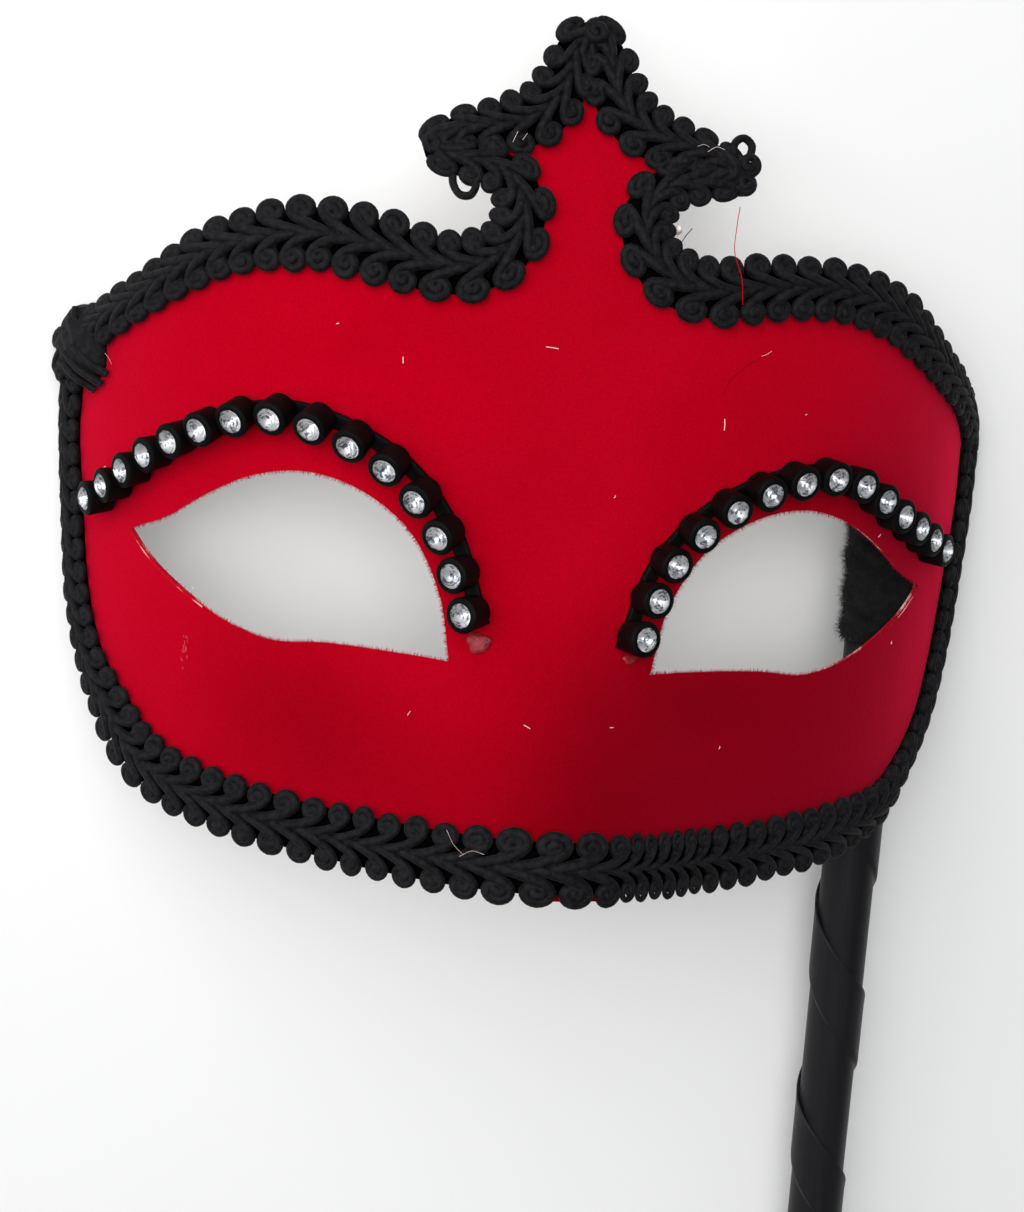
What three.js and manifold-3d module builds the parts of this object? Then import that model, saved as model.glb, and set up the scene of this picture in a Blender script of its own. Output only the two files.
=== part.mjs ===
// Masquerade half mask on a stick, laid face up: a flocked shell edged with scroll braid, a row of
// cupped stones over each eye, and a ribbon-wound stick that a felt sleeve holds behind one eye.
// Millimetres, +Z up. The mask's crown points along +Y and its front along +Z.
import * as THREE from 'three';
import { mergeVertices } from 'three/addons/utils/BufferGeometryUtils.js';
import Module from 'manifold-3d';

const wasm = await Module();
wasm.setup();

// Form of the face: a plan curve that wraps to the temples, a brow that leans back, a soft nose
const plan = { halfWidth: 87, depth: 74, squareness: 2.5, steps: 400 };
const brow = { leanFrom: 22, leanTo: 75, lean: 0.0034 };
const cheek = { tuck: 0.0012 };
const nose = { top: 28, length: 76, height: 16.5, bridge: 15, spread: 18 };

// Sheet: wall, and the spacing of its points inside, along the edge and round the eyes
const sheet = { wall: 1.5, inside: 6.6, edge: 3.2, eye: 2.9, clear: 0.6 };
const gap = 0.3;

// Flat pattern, right half, as distances around the face and up it
const columns = ['around', 'up'];
const shellEdge = table([
  [0, -32], [34, -32.2], [56, -30], [71, -25], [82, -13], [90, 1.5], [94, 18], [97.4, 36],
  [97.8, 41.6], [93.4, 46.4], [75.5, 56], [59.3, 65.8], [44, 69.7], [30, 68.6], [20.5, 67.2],
  [14.9, 69.2], [13.4, 73], [15.4, 76.4], [20.4, 78], [24.6, 79.6], [25.6, 82.6], [22, 86],
  [14.4, 89], [9.4, 92.2], [7.1, 96], [4.4, 101.4], [0, 103.9],
]);
const eyeUpper = table([
  [74.6, 15.7], [67, 18.7], [58, 24.2], [50, 28], [41, 29.5], [32, 27.4], [24, 21.8], [18.6, 12.4],
  [16.3, 2],
]);
const eyeLower = table([
  [16.3, 2], [24, 2.4], [36, 2.5], [45, 1.8], [53, 3.5], [63, 8], [70, 12], [74.6, 15.7],
]);

// Scroll braid: a low band with a raised spine and looped edges that overhang the shell
const braid = { width: 11, overhang: 1.4, edgeHeight: 1.4, spineHeight: 2.2, pitch: 4.3 };
const loop = { dip: 1.1, shoulder: 0.5, leastReach: 1 };
const cornerPoint = new THREE.Vector2(97.8, 41.6);

// Stone rows over the eyes: the line under the stones, how many cups, and the degrees by which the
// first ones lean towards the eye. Outwards the cups stand up and their pitch closes up.
const rows = [
  {
    side: 'left', hand: -1, cups: 15, lean: 36,
    path: table([[14.9, 9.4], [19.6, 21.4], [28.5, 31.2], [46, 36.8], [63, 31.4], [80, 20.3]]),
  },
  {
    side: 'right', hand: 1, cups: 14, lean: 17,
    path: table([[13.3, 7.6], [17.3, 19.2], [27, 29.3], [45, 34.8], [60.5, 28.6], [77, 21.4]]),
  },
];
const standing = { from: 0.35, to: 0.95 };
const pitch = { first: 6.7, last: 5.1 };
const cup = { base: 2.5, rim: 2.85, mouth: 2.5, seat: 1, height: 4.6, seatHeight: 2.3, sides: 10 };
const band = { width: 2.4, height: 1, lift: 0.7 };
const stone = {
  girdle: 2.25, table: 1.3, culet: 0.7, facets: 8, clear: 0.3, girdleUnder: 0.25, crown: 0.85,
};

// Stick: dowel, ribbon and felt, and the line that it follows behind the mask
const stick = { length: 300, radius: 4, sides: 16, bareEnd: 3 };
const stickLine = { across: 64.5, up: -26, front: 42.3, sideways: -0.0395, backLean: 2.3, topUp: 34 };
const ribbon = { inner: 4.25, single: 4.75, double: 5.15, turn: 37, overlap: 0.38, edge: 0.6 };
const winding = { spareTurns: 2, firstTurn: -1.5, trimRoom: 2 };
const felt = { length: 29.5, inner: 4.25, outer: 5.9, soften: 1.2 };

// Fineness of the working-out: samples, small steps and rounds
const fine = { edgeDivisions: 3000, edgeSample: 0.8, step: 0.2, slack: 0.05, far: 5000, tipRounds: 6 };

const flock = finish(0xc00d22, 0.95);
const cord = finish(0x1b1b1d, 0.8);
const cupBlack = finish(0x101012, 0.35);
const crystal = finish(0xe9edf2, 0.05, 0.3);
const ribbonBlack = finish(0x222225, 0.55);
const feltBlack = finish(0x0d0d0e, 1);
const wood = finish(0xb58a55, 0.7);

function finish(color, roughness, metalness = 0) {
  return new THREE.MeshStandardMaterial({ color, roughness, metalness });
}

function table(lines) {
  return lines.map((line) => Object.fromEntries(columns.map((name, i) => [name, line[i]])));
}

function flat({ around, up }, hand = 1) {
  return new THREE.Vector3(hand * around, up, 0);
}

// Plan curve measured along its length, so that the flat pattern wraps without stretching
const planCurve = [{ along: 0, x: 0, z: plan.depth }];
for (let i = 1; i <= plan.steps; i++) {
  const x = plan.halfWidth * Math.sin((i / plan.steps) * Math.PI / 2);
  const z = plan.depth * Math.sqrt(1 - (x / plan.halfWidth) ** plan.squareness);
  const last = planCurve.at(-1);
  planCurve.push({ along: last.along + Math.hypot(x - last.x, z - last.z), x, z });
}

function planPoint(around) {
  const along = Math.abs(around);
  const i = Math.max(1, planCurve.findIndex((p) => p.along >= along));
  const [a, b] = [planCurve[i - 1], planCurve[i]];
  const t = (along - a.along) / (b.along - a.along);
  const x = THREE.MathUtils.lerp(a.x, b.x, t);
  return { x: Math.sign(around) * x, z: THREE.MathUtils.lerp(a.z, b.z, t) };
}

function facePoint(around, up) {
  const { x, z } = planPoint(around);
  const span = brow.leanTo - brow.leanFrom;
  const rise = THREE.MathUtils.clamp(up - brow.leanFrom, 0, span);
  const above = Math.max(up - brow.leanTo, 0);
  const back = brow.lean * (rise * rise + 2 * span * above) + cheek.tuck * Math.min(up, 0) ** 2;
  const down = THREE.MathUtils.clamp((nose.top - up) / nose.length, 0, 1);
  const ridge = nose.height * THREE.MathUtils.smoothstep(down, 0, 1);
  const width = nose.bridge + nose.spread * down;
  return new THREE.Vector3(x, up, z - back + ridge * Math.exp(-((x / width) ** 2)));
}

function faceNormal(around, up) {
  const across = facePoint(around + fine.step, up).sub(facePoint(around - fine.step, up));
  const rising = facePoint(around, up + fine.step).sub(facePoint(around, up - fine.step));
  return across.cross(rising).normalize();
}

function wrap(p, lift) {
  return facePoint(p.x, p.y).addScaledVector(faceNormal(p.x, p.y), lift);
}

// Closed geometry from points and triangles, with its faces turned outwards
function solid(points, triangles) {
  const corner = (i) => points[i];
  const volume = triangles.reduce(
    (sum, [a, b, c]) => sum + corner(a).dot(new THREE.Vector3().crossVectors(corner(b), corner(c))), 0);
  const facing = volume > 0 ? triangles : triangles.map(([a, b, c]) => [a, c, b]);
  const geometry = new THREE.BufferGeometry().setFromPoints(points);
  return geometry.setIndex(facing.flat());
}

function welded(geometry) {
  const bare = geometry.clone();
  bare.deleteAttribute('normal');
  bare.deleteAttribute('uv');
  const merged = mergeVertices(bare);
  const points = [];
  const position = merged.attributes.position;
  for (let i = 0; i < position.count; i++) {
    points.push(new THREE.Vector3().fromBufferAttribute(position, i));
  }
  const triangles = [];
  for (let i = 0; i < merged.index.count; i += 3) {
    const [a, b, c] = [0, 1, 2].map((k) => merged.index.getX(i + k));
    if (a !== b && b !== c && c !== a) triangles.push([a, b, c]);
  }
  return solid(points, triangles);
}

// Skin through rings of equal count, closed by a flat fan at each end
function loft(rings) {
  const count = rings[0].length;
  const triangles = [];
  for (let r = 0; r + 1 < rings.length; r++) {
    for (let j = 0; j < count; j++) {
      const [a, aNext] = [r * count + j, r * count + ((j + 1) % count)];
      const [b, bNext] = [a + count, aNext + count];
      triangles.push([a, aNext, b], [b, aNext, bNext]);
    }
  }
  const end = (rings.length - 1) * count;
  for (let j = 1; j + 1 < count; j++) triangles.push([0, j + 1, j], [end, end + j, end + j + 1]);
  return solid(rings.flat(), triangles);
}

function manifold(geometry) {
  const vertProperties = new Float32Array(geometry.attributes.position.array);
  const triVerts = new Uint32Array(geometry.index.array);
  return new wasm.Manifold(new wasm.Mesh({ numProp: 3, vertProperties, triVerts }));
}

function fromManifold(body) {
  const { vertProperties, triVerts } = body.getMesh();
  const geometry = new THREE.BufferGeometry();
  geometry.setAttribute('position', new THREE.BufferAttribute(vertProperties, 3));
  return geometry.setIndex(new THREE.BufferAttribute(triVerts, 1));
}

function mesh(name, geometry, material) {
  const piece = new THREE.Mesh(geometry, material);
  piece.name = name;
  return piece;
}

// Outlines in the flat
const rightEdge = shellEdge.map((p) => flat(p));
const leftEdge = shellEdge.slice(1, -1).reverse().map((p) => flat(p, -1));
const edgeCurve = new THREE.CatmullRomCurve3([...rightEdge, ...leftEdge], true, 'centripetal');
edgeCurve.arcLengthDivisions = fine.edgeDivisions;
const edgeLength = edgeCurve.getLength();

function spaced(curve, spacing) {
  const points = curve.getSpacedPoints(Math.round(curve.getLength() / spacing));
  return points.slice(0, -1);
}

function eyeOutline(hand) {
  const half = (line) => new THREE.CatmullRomCurve3(line.map((p) => flat(p, hand)), false, 'centripetal');
  return [...spaced(half(eyeUpper), sheet.eye), ...spaced(half(eyeLower), sheet.eye)];
}

function contains(outline, p) {
  let inside = false;
  outline.forEach((a, i) => {
    const b = outline[(i + 1) % outline.length];
    const straddles = a.y > p.y !== b.y > p.y;
    if (straddles && p.x < a.x + ((b.x - a.x) * (p.y - a.y)) / (b.y - a.y)) inside = !inside;
  });
  return inside;
}

// Delaunay triangles of flat points: each new point opens the triangles whose circles hold it
function triangulate(points) {
  const around = [[-1, -1], [1, -1], [0, 1]].map(([x, y]) => new THREE.Vector3(x, y, 0));
  const all = [...points, ...around.map((p) => p.multiplyScalar(fine.far))];
  const circled = (a, b, c) => {
    const [p, q, r] = [all[a], all[b], all[c]];
    const [bx, by, cx, cy] = [q.x - p.x, q.y - p.y, r.x - p.x, r.y - p.y];
    const d = 2 * (bx * cy - by * cx);
    const ux = (cy * (bx * bx + by * by) - by * (cx * cx + cy * cy)) / d;
    const uy = (bx * (cx * cx + cy * cy) - cx * (bx * bx + by * by)) / d;
    return { corners: [a, b, c], x: p.x + ux, y: p.y + uy, square: ux * ux + uy * uy };
  };
  let triangles = [circled(points.length, points.length + 1, points.length + 2)];
  points.forEach((p, i) => {
    const holds = (t) => (p.x - t.x) ** 2 + (p.y - t.y) ** 2 < t.square;
    const open = triangles.filter(holds);
    triangles = triangles.filter((t) => !holds(t));
    const sides = open.flatMap(({ corners: [a, b, c] }) => [[a, b], [b, c], [c, a]]);
    const shared = new Set(sides.map(([a, b]) => `${a} ${b}`));
    for (const [a, b] of sides) if (!shared.has(`${b} ${a}`)) triangles.push(circled(a, b, i));
  });
  return triangles.map((t) => t.corners).filter((corners) => corners.every((c) => c < points.length));
}

function maskShell() {
  const outline = spaced(edgeCurve, sheet.edge);
  const eyes = [eyeOutline(1), eyeOutline(-1)];
  const rims = [outline, ...eyes].flat();
  const onSheet = (p) => contains(outline, p) && !eyes.some((eye) => contains(eye, p));
  const points = [...rims];
  const rowHeight = sheet.inside * Math.sqrt(3) / 2;
  const reachOut = Math.max(...outline.map((p) => p.x));
  const [low, high] = [Math.min(...outline.map((p) => p.y)), Math.max(...outline.map((p) => p.y))];
  for (let row = 0; low + row * rowHeight < high; row++) {
    for (let x = -reachOut + (row % 2) * sheet.inside / 2; x < reachOut; x += sheet.inside) {
      const p = new THREE.Vector3(x, low + row * rowHeight, 0);
      const isClear = rims.every((rim) => rim.distanceTo(p) > sheet.clear * sheet.inside);
      if (isClear && onSheet(p)) points.push(p);
    }
  }
  const front = triangulate(points).filter((corners) => {
    const middle = corners.reduce((sum, c) => sum.addScaledVector(points[c], 1 / 3), new THREE.Vector3());
    return onSheet(middle);
  });
  const count = points.length;
  const sides = front.flatMap(([a, b, c]) => [[a, b], [b, c], [c, a]]);
  const shared = new Set(sides.map(([a, b]) => `${a} ${b}`));
  const rim = sides.filter(([a, b]) => !shared.has(`${b} ${a}`));
  const triangles = [
    ...front,
    ...front.map(([a, b, c]) => [a + count, c + count, b + count]),
    ...rim.flatMap(([a, b]) => [[a, a + count, b], [b, a + count, b + count]]),
  ];
  const both = [0, -sheet.wall].flatMap((lift) => points.map((p) => wrap(p, lift)));
  return solid(both, triangles);
}

// How far the braid reaches in from the edge before it meets the braid on the other side
const edgeSamples = spaced(edgeCurve, fine.edgeSample);

function braidReach(p, inward) {
  let reach = braid.width - braid.overhang;
  const meets = () => {
    const tip = p.clone().addScaledVector(inward, reach);
    return edgeSamples.some((e) => e.distanceTo(tip) < reach - fine.slack);
  };
  while (reach > loop.leastReach && meets()) reach -= fine.step;
  return reach - gap;
}

function braidPiece(from, to) {
  const loops = Math.round(((to - from) * edgeLength) / braid.pitch);
  const rings = [];
  for (let i = 0; i <= 2 * loops; i++) {
    const u = (from + ((to - from) * i) / (2 * loops) + 1) % 1;
    const p = edgeCurve.getPointAt(u);
    const along = edgeCurve.getTangentAt(u);
    const inward = new THREE.Vector3(-along.y, along.x, 0);
    const reach = braidReach(p, inward);
    const dip = i % 2 === 0 ? 0 : loop.dip * Math.min(1, reach / (braid.width - braid.overhang));
    const [outer, inner] = [dip - braid.overhang, reach - dip];
    const section = [
      [outer, 0],
      [outer + loop.shoulder, braid.edgeHeight],
      [(outer + inner) / 2, braid.spineHeight],
      [inner - loop.shoulder, braid.edgeHeight],
      [inner, 0],
    ];
    rings.push(section.map(([across, lift]) => wrap(p.clone().addScaledVector(inward, across), gap + lift)));
  }
  return loft(rings);
}

// Share of the edge's length at which the two braids meet, on the right
function cornerShare() {
  const corner = new THREE.Vector3(cornerPoint.x, cornerPoint.y, 0);
  const nearest = edgeSamples.reduce((best, p, i) => (
    p.distanceTo(corner) < edgeSamples[best].distanceTo(corner) ? i : best), 0);
  return nearest / edgeSamples.length;
}

// Places along a stone row. A leaning cup has its foot further from the eye than its stone, and is
// raised until the low side of the foot clears the shell.
function rowSeats({ hand, cups, lean, path }) {
  const curve = new THREE.CatmullRomCurve3(path.map((p) => flat(p, hand)), false, 'centripetal');
  const length = curve.getLength();
  const seats = [];
  let along = 0;
  for (let i = 0; i < cups; i++) {
    const share = Math.min(along / length, 1);
    const way = curve.getTangentAt(share);
    const toEye = new THREE.Vector3(hand * way.y, -hand * way.x, 0);
    const upright = THREE.MathUtils.smoothstep(i / (cups - 1), standing.from, standing.to);
    const angle = THREE.MathUtils.degToRad(lean) * (1 - upright);
    const foot = curve.getPointAt(share).addScaledVector(toEye, -cup.height * Math.sin(angle));
    const normal = faceNormal(foot.x, foot.y);
    const sideways = wrap(foot.clone().addScaledVector(toEye, fine.step), 0).sub(wrap(foot, 0));
    const axis = normal.clone().applyAxisAngle(normal.clone().cross(sideways).normalize(), angle);
    const turn = new THREE.Quaternion().setFromUnitVectors(new THREE.Vector3(0, 1, 0), axis);
    seats.push({ point: wrap(foot, gap + cup.base * Math.sin(angle)), axis, turn });
    along += THREE.MathUtils.lerp(pitch.first, pitch.last, i / (cups - 1));
  }
  return seats;
}

function cupShape() {
  const profile = [
    [0, 0], [cup.base, 0], [cup.rim, cup.height], [cup.mouth, cup.height], [cup.seat, cup.seatHeight],
    [0, cup.seatHeight],
  ];
  return welded(new THREE.LatheGeometry(profile.map(([r, h]) => new THREE.Vector2(r, h)), cup.sides));
}

function bandLink(from, to) {
  const length = from.point.distanceTo(to.point);
  const along = to.point.clone().sub(from.point).normalize();
  const over = from.axis.clone().add(to.axis).normalize();
  const across = new THREE.Vector3().crossVectors(along, over).normalize();
  const standingOut = new THREE.Vector3().crossVectors(across, along);
  const middle = from.point.clone().lerp(to.point, 0.5);
  middle.addScaledVector(standingOut, band.lift + band.height / 2 - gap);
  const place = new THREE.Matrix4().makeBasis(along, standingOut, across).setPosition(middle);
  return welded(new THREE.BoxGeometry(length, band.height, band.width)).applyMatrix4(place);
}

function browChain(seats) {
  const seated = (shape) => ({ point, turn }) => {
    const place = new THREE.Matrix4().compose(point, turn, new THREE.Vector3(1, 1, 1));
    return manifold(shape.clone().applyMatrix4(place));
  };
  const depth = cup.height - cup.seatHeight;
  const hollow = welded(new THREE.CylinderGeometry(cup.mouth, cup.seat, depth, cup.sides));
  hollow.translate(0, cup.seatHeight + depth / 2, 0);
  const cups = seats.map(seated(cupShape()));
  const links = seats.slice(1).map((seat, i) => manifold(bandLink(seats[i], seat)));
  const joined = [...cups, ...links].reduce((sum, body) => sum.add(body));
  return fromManifold(seats.map(seated(hollow)).reduce((body, cut) => body.subtract(cut), joined));
}

// Cut stone: small culet, widest girdle, flat table, each ring half a facet on from the last
function stoneShape() {
  const girdle = cup.height - stone.girdleUnder;
  const levels = [
    { radius: stone.culet, height: cup.seatHeight + stone.clear, phase: -0.5 },
    { radius: stone.girdle, height: girdle, phase: 0 },
    { radius: stone.table, height: girdle + stone.crown, phase: 0.5 },
  ];
  return loft(levels.map(({ radius, height, phase }) => Array.from({ length: stone.facets }, (_, j) => {
    const angle = ((j + phase) / stone.facets) * 2 * Math.PI;
    return new THREE.Vector3(radius * Math.cos(angle), height, radius * Math.sin(angle));
  })));
}

// Ribbon wound in an overlapping spiral: its two edges climb as steps, trimmed square at both ends
function ribbonSleeve(length) {
  const perTurn = [
    { climb: 0, radius: ribbon.single },
    { climb: ribbon.edge / ribbon.turn, radius: ribbon.double },
    { climb: ribbon.overlap, radius: ribbon.double },
    { climb: ribbon.overlap + ribbon.edge / ribbon.turn, radius: ribbon.single },
  ];
  const turns = Math.ceil(length / ribbon.turn) + winding.spareTurns;
  const perColumn = perTurn.length * turns;
  const points = [];
  for (let j = 0; j < stick.sides; j++) {
    const angle = (j / stick.sides) * 2 * Math.PI;
    for (let k = 0; k < perColumn; k++) {
      const { climb, radius } = perTurn[k % perTurn.length];
      const turn = winding.firstTurn + Math.floor(k / perTurn.length) + j / stick.sides;
      const height = ribbon.turn * (turn + climb);
      points.push(new THREE.Vector3(-radius * Math.sin(angle), height, radius * Math.cos(angle)));
    }
  }
  const at = (j, k) => (j < stick.sides ? j * perColumn + k : k + perTurn.length);
  const triangles = [];
  for (let j = 0; j < stick.sides; j++) {
    for (let k = 0; k + 1 < perColumn; k++) {
      if (j === stick.sides - 1 && k + 1 + perTurn.length >= perColumn) continue;
      triangles.push([at(j, k), at(j + 1, k), at(j, k + 1)], [at(j, k + 1), at(j + 1, k), at(j + 1, k + 1)]);
    }
  }
  const sides = triangles.flatMap(([a, b, c]) => [[a, b], [b, c], [c, a]]);
  const shared = new Set(sides.map(([a, b]) => `${a} ${b}`));
  const lowest = points.push(new THREE.Vector3(0, (winding.firstTurn - 1) * ribbon.turn, 0)) - 1;
  const highest = points.push(new THREE.Vector3(0, (turns + 1) * ribbon.turn, 0)) - 1;
  for (const [a, b] of sides.filter(([p, q]) => !shared.has(`${q} ${p}`))) {
    const isLow = points[a].y + points[b].y < length;
    triangles.push([b, a, isLow ? lowest : highest]);
  }
  const wound = manifold(solid(points, triangles));
  const trim = manifold(tube(ribbon.inner, ribbon.double + winding.trimRoom, length));
  return fromManifold(wound.intersect(trim));
}

function tube(inner, outer, length, soften = 0) {
  const profile = [
    [inner, 0], [outer - soften / 2, 0], [outer, soften],
    [outer, length - soften], [outer - soften / 2, length], [inner, length], [inner, 0],
  ].filter(([r, h], i, all) => i === 0 || r !== all[i - 1][0] || h !== all[i - 1][1]);
  return welded(new THREE.LatheGeometry(profile.map(([r, h]) => new THREE.Vector2(r, h)), stick.sides));
}

function stickGroup() {
  const rise = Math.tan(THREE.MathUtils.degToRad(stickLine.backLean));
  const up = new THREE.Vector3(stickLine.sideways, 1, rise);
  const top = new THREE.Vector3(stickLine.across, stickLine.up, stickLine.front)
    .addScaledVector(up, stickLine.topUp - stickLine.up);
  const group = new THREE.Group();
  group.quaternion.setFromUnitVectors(new THREE.Vector3(0, 1, 0), up.clone().normalize());
  group.position.copy(top).addScaledVector(up.normalize(), -stick.length);
  const ribbonLength = stick.length - stick.bareEnd - felt.length - gap;
  const rod = new THREE.CylinderGeometry(stick.radius, stick.radius, stick.length, stick.sides);
  const dowel = mesh('stick', welded(rod), wood);
  dowel.position.y = stick.length / 2;
  const wound = mesh('stick_ribbon', ribbonSleeve(ribbonLength), ribbonBlack);
  wound.position.y = stick.bareEnd;
  const sleeve = mesh('felt_sleeve', tube(felt.inner, felt.outer, felt.length, felt.soften), feltBlack);
  sleeve.position.y = stick.length - felt.length;
  return group.add(dowel, wound, sleeve);
}

const faceGroup = new THREE.Group();
const corner = cornerShare();
const buttGap = 2 * gap / edgeLength;
faceGroup.add(
  mesh('mask_shell', maskShell(), flock),
  mesh('braid_top', braidPiece(corner + buttGap, 1 - corner - buttGap), cord),
  mesh('braid_lower', braidPiece(-corner + buttGap, corner - buttGap), cord),
);
for (const row of rows) {
  const seats = rowSeats(row);
  faceGroup.add(mesh(`brow_chain_${row.side}`, browChain(seats), cupBlack));
  seats.forEach(({ point, turn }, i) => {
    const gem = mesh(`stone_${row.side}_${String(i + 1).padStart(2, '0')}`, stoneShape(), crystal);
    gem.position.copy(point);
    gem.quaternion.copy(turn);
    faceGroup.add(gem);
  });
}

// The mask rests on its two upper corners and the stick's end: it is tipped until all touch down
const handle = stickGroup();
const mask = new THREE.Group().add(faceGroup, handle);
const lowestOf = (piece) => new THREE.Box3().setFromObject(piece, true);
for (let i = 0; i < fine.tipRounds; i++) {
  const drop = lowestOf(handle).min.z - lowestOf(faceGroup).min.z;
  mask.rotation.x += drop / stick.length;
}
const bounds = lowestOf(mask);
const middle = bounds.getCenter(new THREE.Vector3());
mask.position.set(-middle.x, -middle.y, -bounds.min.z);

export default new THREE.Group().add(mask);
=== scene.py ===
import math

import bmesh
import bpy
import numpy as np
from mathutils import Matrix, Vector
from mathutils.geometry import delaunay_2d_cdt


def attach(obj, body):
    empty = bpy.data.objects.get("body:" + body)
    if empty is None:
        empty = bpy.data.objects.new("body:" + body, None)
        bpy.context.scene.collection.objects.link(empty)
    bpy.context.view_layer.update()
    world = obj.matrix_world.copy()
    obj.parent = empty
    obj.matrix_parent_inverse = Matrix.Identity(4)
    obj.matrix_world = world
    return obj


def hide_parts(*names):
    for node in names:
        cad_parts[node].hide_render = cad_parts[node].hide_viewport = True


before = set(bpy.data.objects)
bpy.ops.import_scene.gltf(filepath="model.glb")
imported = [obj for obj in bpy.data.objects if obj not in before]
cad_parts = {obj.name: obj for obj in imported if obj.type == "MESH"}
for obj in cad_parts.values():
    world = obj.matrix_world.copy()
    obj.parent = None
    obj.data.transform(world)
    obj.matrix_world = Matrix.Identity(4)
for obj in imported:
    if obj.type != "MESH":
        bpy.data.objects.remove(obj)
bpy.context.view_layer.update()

mm = 0.001
weld = 1e-6  # metres, points closer than this are merged
print("frame loaded with", len(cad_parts), "solids")

# the mask's own millimetres: x to the right, y up the face, z out of it
faceForm = {
    "halfWidth": 87, "depth": 74, "squareness": 2.5, "planSteps": 400,
    "leanFrom": 22, "leanTo": 75, "lean": 0.0034, "tuck": 0.0012,
    "noseTop": 28, "noseLength": 76, "noseHeight": 16.5, "noseBridge": 15, "noseSpread": 18,
    "normalStep": 0.2,
}
restPose = {"tip": -0.44791, "shift": (0.0, 80.0226, -27.7489)}  # how it lies on the floor
restTurn = np.array(Matrix.Rotation(math.radians(restPose["tip"]), 3, "X"))

planTurn = np.linspace(0, math.pi / 2, faceForm["planSteps"] + 1)
planX = faceForm["halfWidth"] * np.sin(planTurn)
planZ = faceForm["depth"] * np.sqrt(np.clip(1 - np.sin(planTurn) ** faceForm["squareness"], 0, None))
planAlong = np.concatenate([[0], np.cumsum(np.hypot(np.diff(planX), np.diff(planZ)))])


def toRow(points):
    return (np.asarray(points, float) @ restTurn.T + np.array(restPose["shift"])) * mm


def turnToRow(directions):
    return np.asarray(directions, float) @ restTurn.T


def unit(vectors):
    return vectors / np.linalg.norm(vectors, axis=-1, keepdims=True)


def leftOfWay(way):
    return unit(np.stack([-way[:, 1], way[:, 0]], 1))


def smoothStep(share):
    return share ** 2 * (3 - 2 * share)


def facePoint(flat):
    around, up = flat[..., 0], flat[..., 1]
    x = np.sign(around) * np.interp(np.abs(around), planAlong, planX)
    z = np.interp(np.abs(around), planAlong, planZ)
    span = faceForm["leanTo"] - faceForm["leanFrom"]
    rise = np.clip(up - faceForm["leanFrom"], 0, span)
    above = np.maximum(up - faceForm["leanTo"], 0)
    back = faceForm["lean"] * (rise ** 2 + 2 * span * above) + faceForm["tuck"] * np.minimum(up, 0) ** 2
    down = np.clip((faceForm["noseTop"] - up) / faceForm["noseLength"], 0, 1)
    ridge = faceForm["noseHeight"] * smoothStep(down)
    width = faceForm["noseBridge"] + faceForm["noseSpread"] * down
    return np.stack([x, up, z - back + ridge * np.exp(-(x / width) ** 2)], -1)


def faceNormal(flat):
    step = faceForm["normalStep"]
    across = facePoint(flat + [step, 0]) - facePoint(flat - [step, 0])
    rising = facePoint(flat + [0, step]) - facePoint(flat - [0, step])
    return unit(np.cross(across, rising))


def wrap(flat, lift):
    return facePoint(flat) + faceNormal(flat) * np.asarray(lift, float).reshape(-1, 1)


def lengthsAlong(line):
    return np.concatenate([[0], np.cumsum(np.linalg.norm(np.diff(line, axis=0), axis=1))])


def smoothLine(points, closed=False, perSpan=24):
    p = np.asarray(points, float)
    if closed:
        padded = np.concatenate([p[-1:], p, p[:2]])
    else:
        padded = np.concatenate([2 * p[:1] - p[1:2], p, 2 * p[-1:] - p[-2:-1]])
    t = np.linspace(0, 1, perSpan, endpoint=False)[:, None]
    line = []
    for a, b, c, d in zip(padded, padded[1:], padded[2:], padded[3:]):
        before, here, after = (np.linalg.norm(q - r) ** 0.5 for q, r in ((b, a), (c, b), (d, c)))
        leave = here * ((b - a) / before - (c - a) / (before + here) + (c - b) / here)
        arrive = here * ((c - b) / here - (d - b) / (here + after) + (d - c) / after)
        line.append(b + leave * t + (3 * (c - b) - 2 * leave - arrive) * t ** 2
                    + (leave + arrive - 2 * (c - b)) * t ** 3)
    line.append(p[:1] if closed else p[-1:])
    return np.concatenate(line)


def sampledAt(values, along, wanted):
    return np.stack([np.interp(wanted, along, column) for column in values.T], 1)


def atLengths(line, wanted):
    return sampledAt(line, lengthsAlong(line), wanted)


def evenly(line, spacing):
    total = lengthsAlong(line)[-1]
    return atLengths(line, np.linspace(0, total, int(round(total / spacing)) + 1))


def insideOf(outline, points):
    a, b = outline, np.roll(outline, -1, axis=0)
    x, y = points[:, :1], points[:, 1:]
    straddles = (a[:, 1] > y) != (b[:, 1] > y)
    rise = np.where(b[:, 1] == a[:, 1], 1, b[:, 1] - a[:, 1])
    crossing = a[:, 0] + (b[:, 0] - a[:, 0]) * (y - a[:, 1]) / rise
    return np.count_nonzero(straddles & (x < crossing), axis=1) % 2 == 1


def meshObject(name, points, faces, materials, smooth=True, sharpAngle=None):
    mesh = bpy.data.meshes.new(name)
    mesh.from_pydata([tuple(p) for p in points], [], [tuple(f) for f in faces])
    for material in materials:
        mesh.materials.append(material)
    mesh.polygons.foreach_set("use_smooth", [smooth] * len(mesh.polygons))
    if sharpAngle:
        mesh.set_sharp_from_angle(angle=math.radians(sharpAngle))
    mesh.update()
    made = bpy.data.objects.new(name, mesh)
    bpy.context.scene.collection.objects.link(made)
    return made


def faceOutwards(made, merge=True):
    work = bmesh.new()
    work.from_mesh(made.data)
    if merge:
        bmesh.ops.remove_doubles(work, verts=work.verts, dist=weld)
    bmesh.ops.recalc_face_normals(work, faces=work.faces)
    work.to_mesh(made.data)
    work.free()


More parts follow.
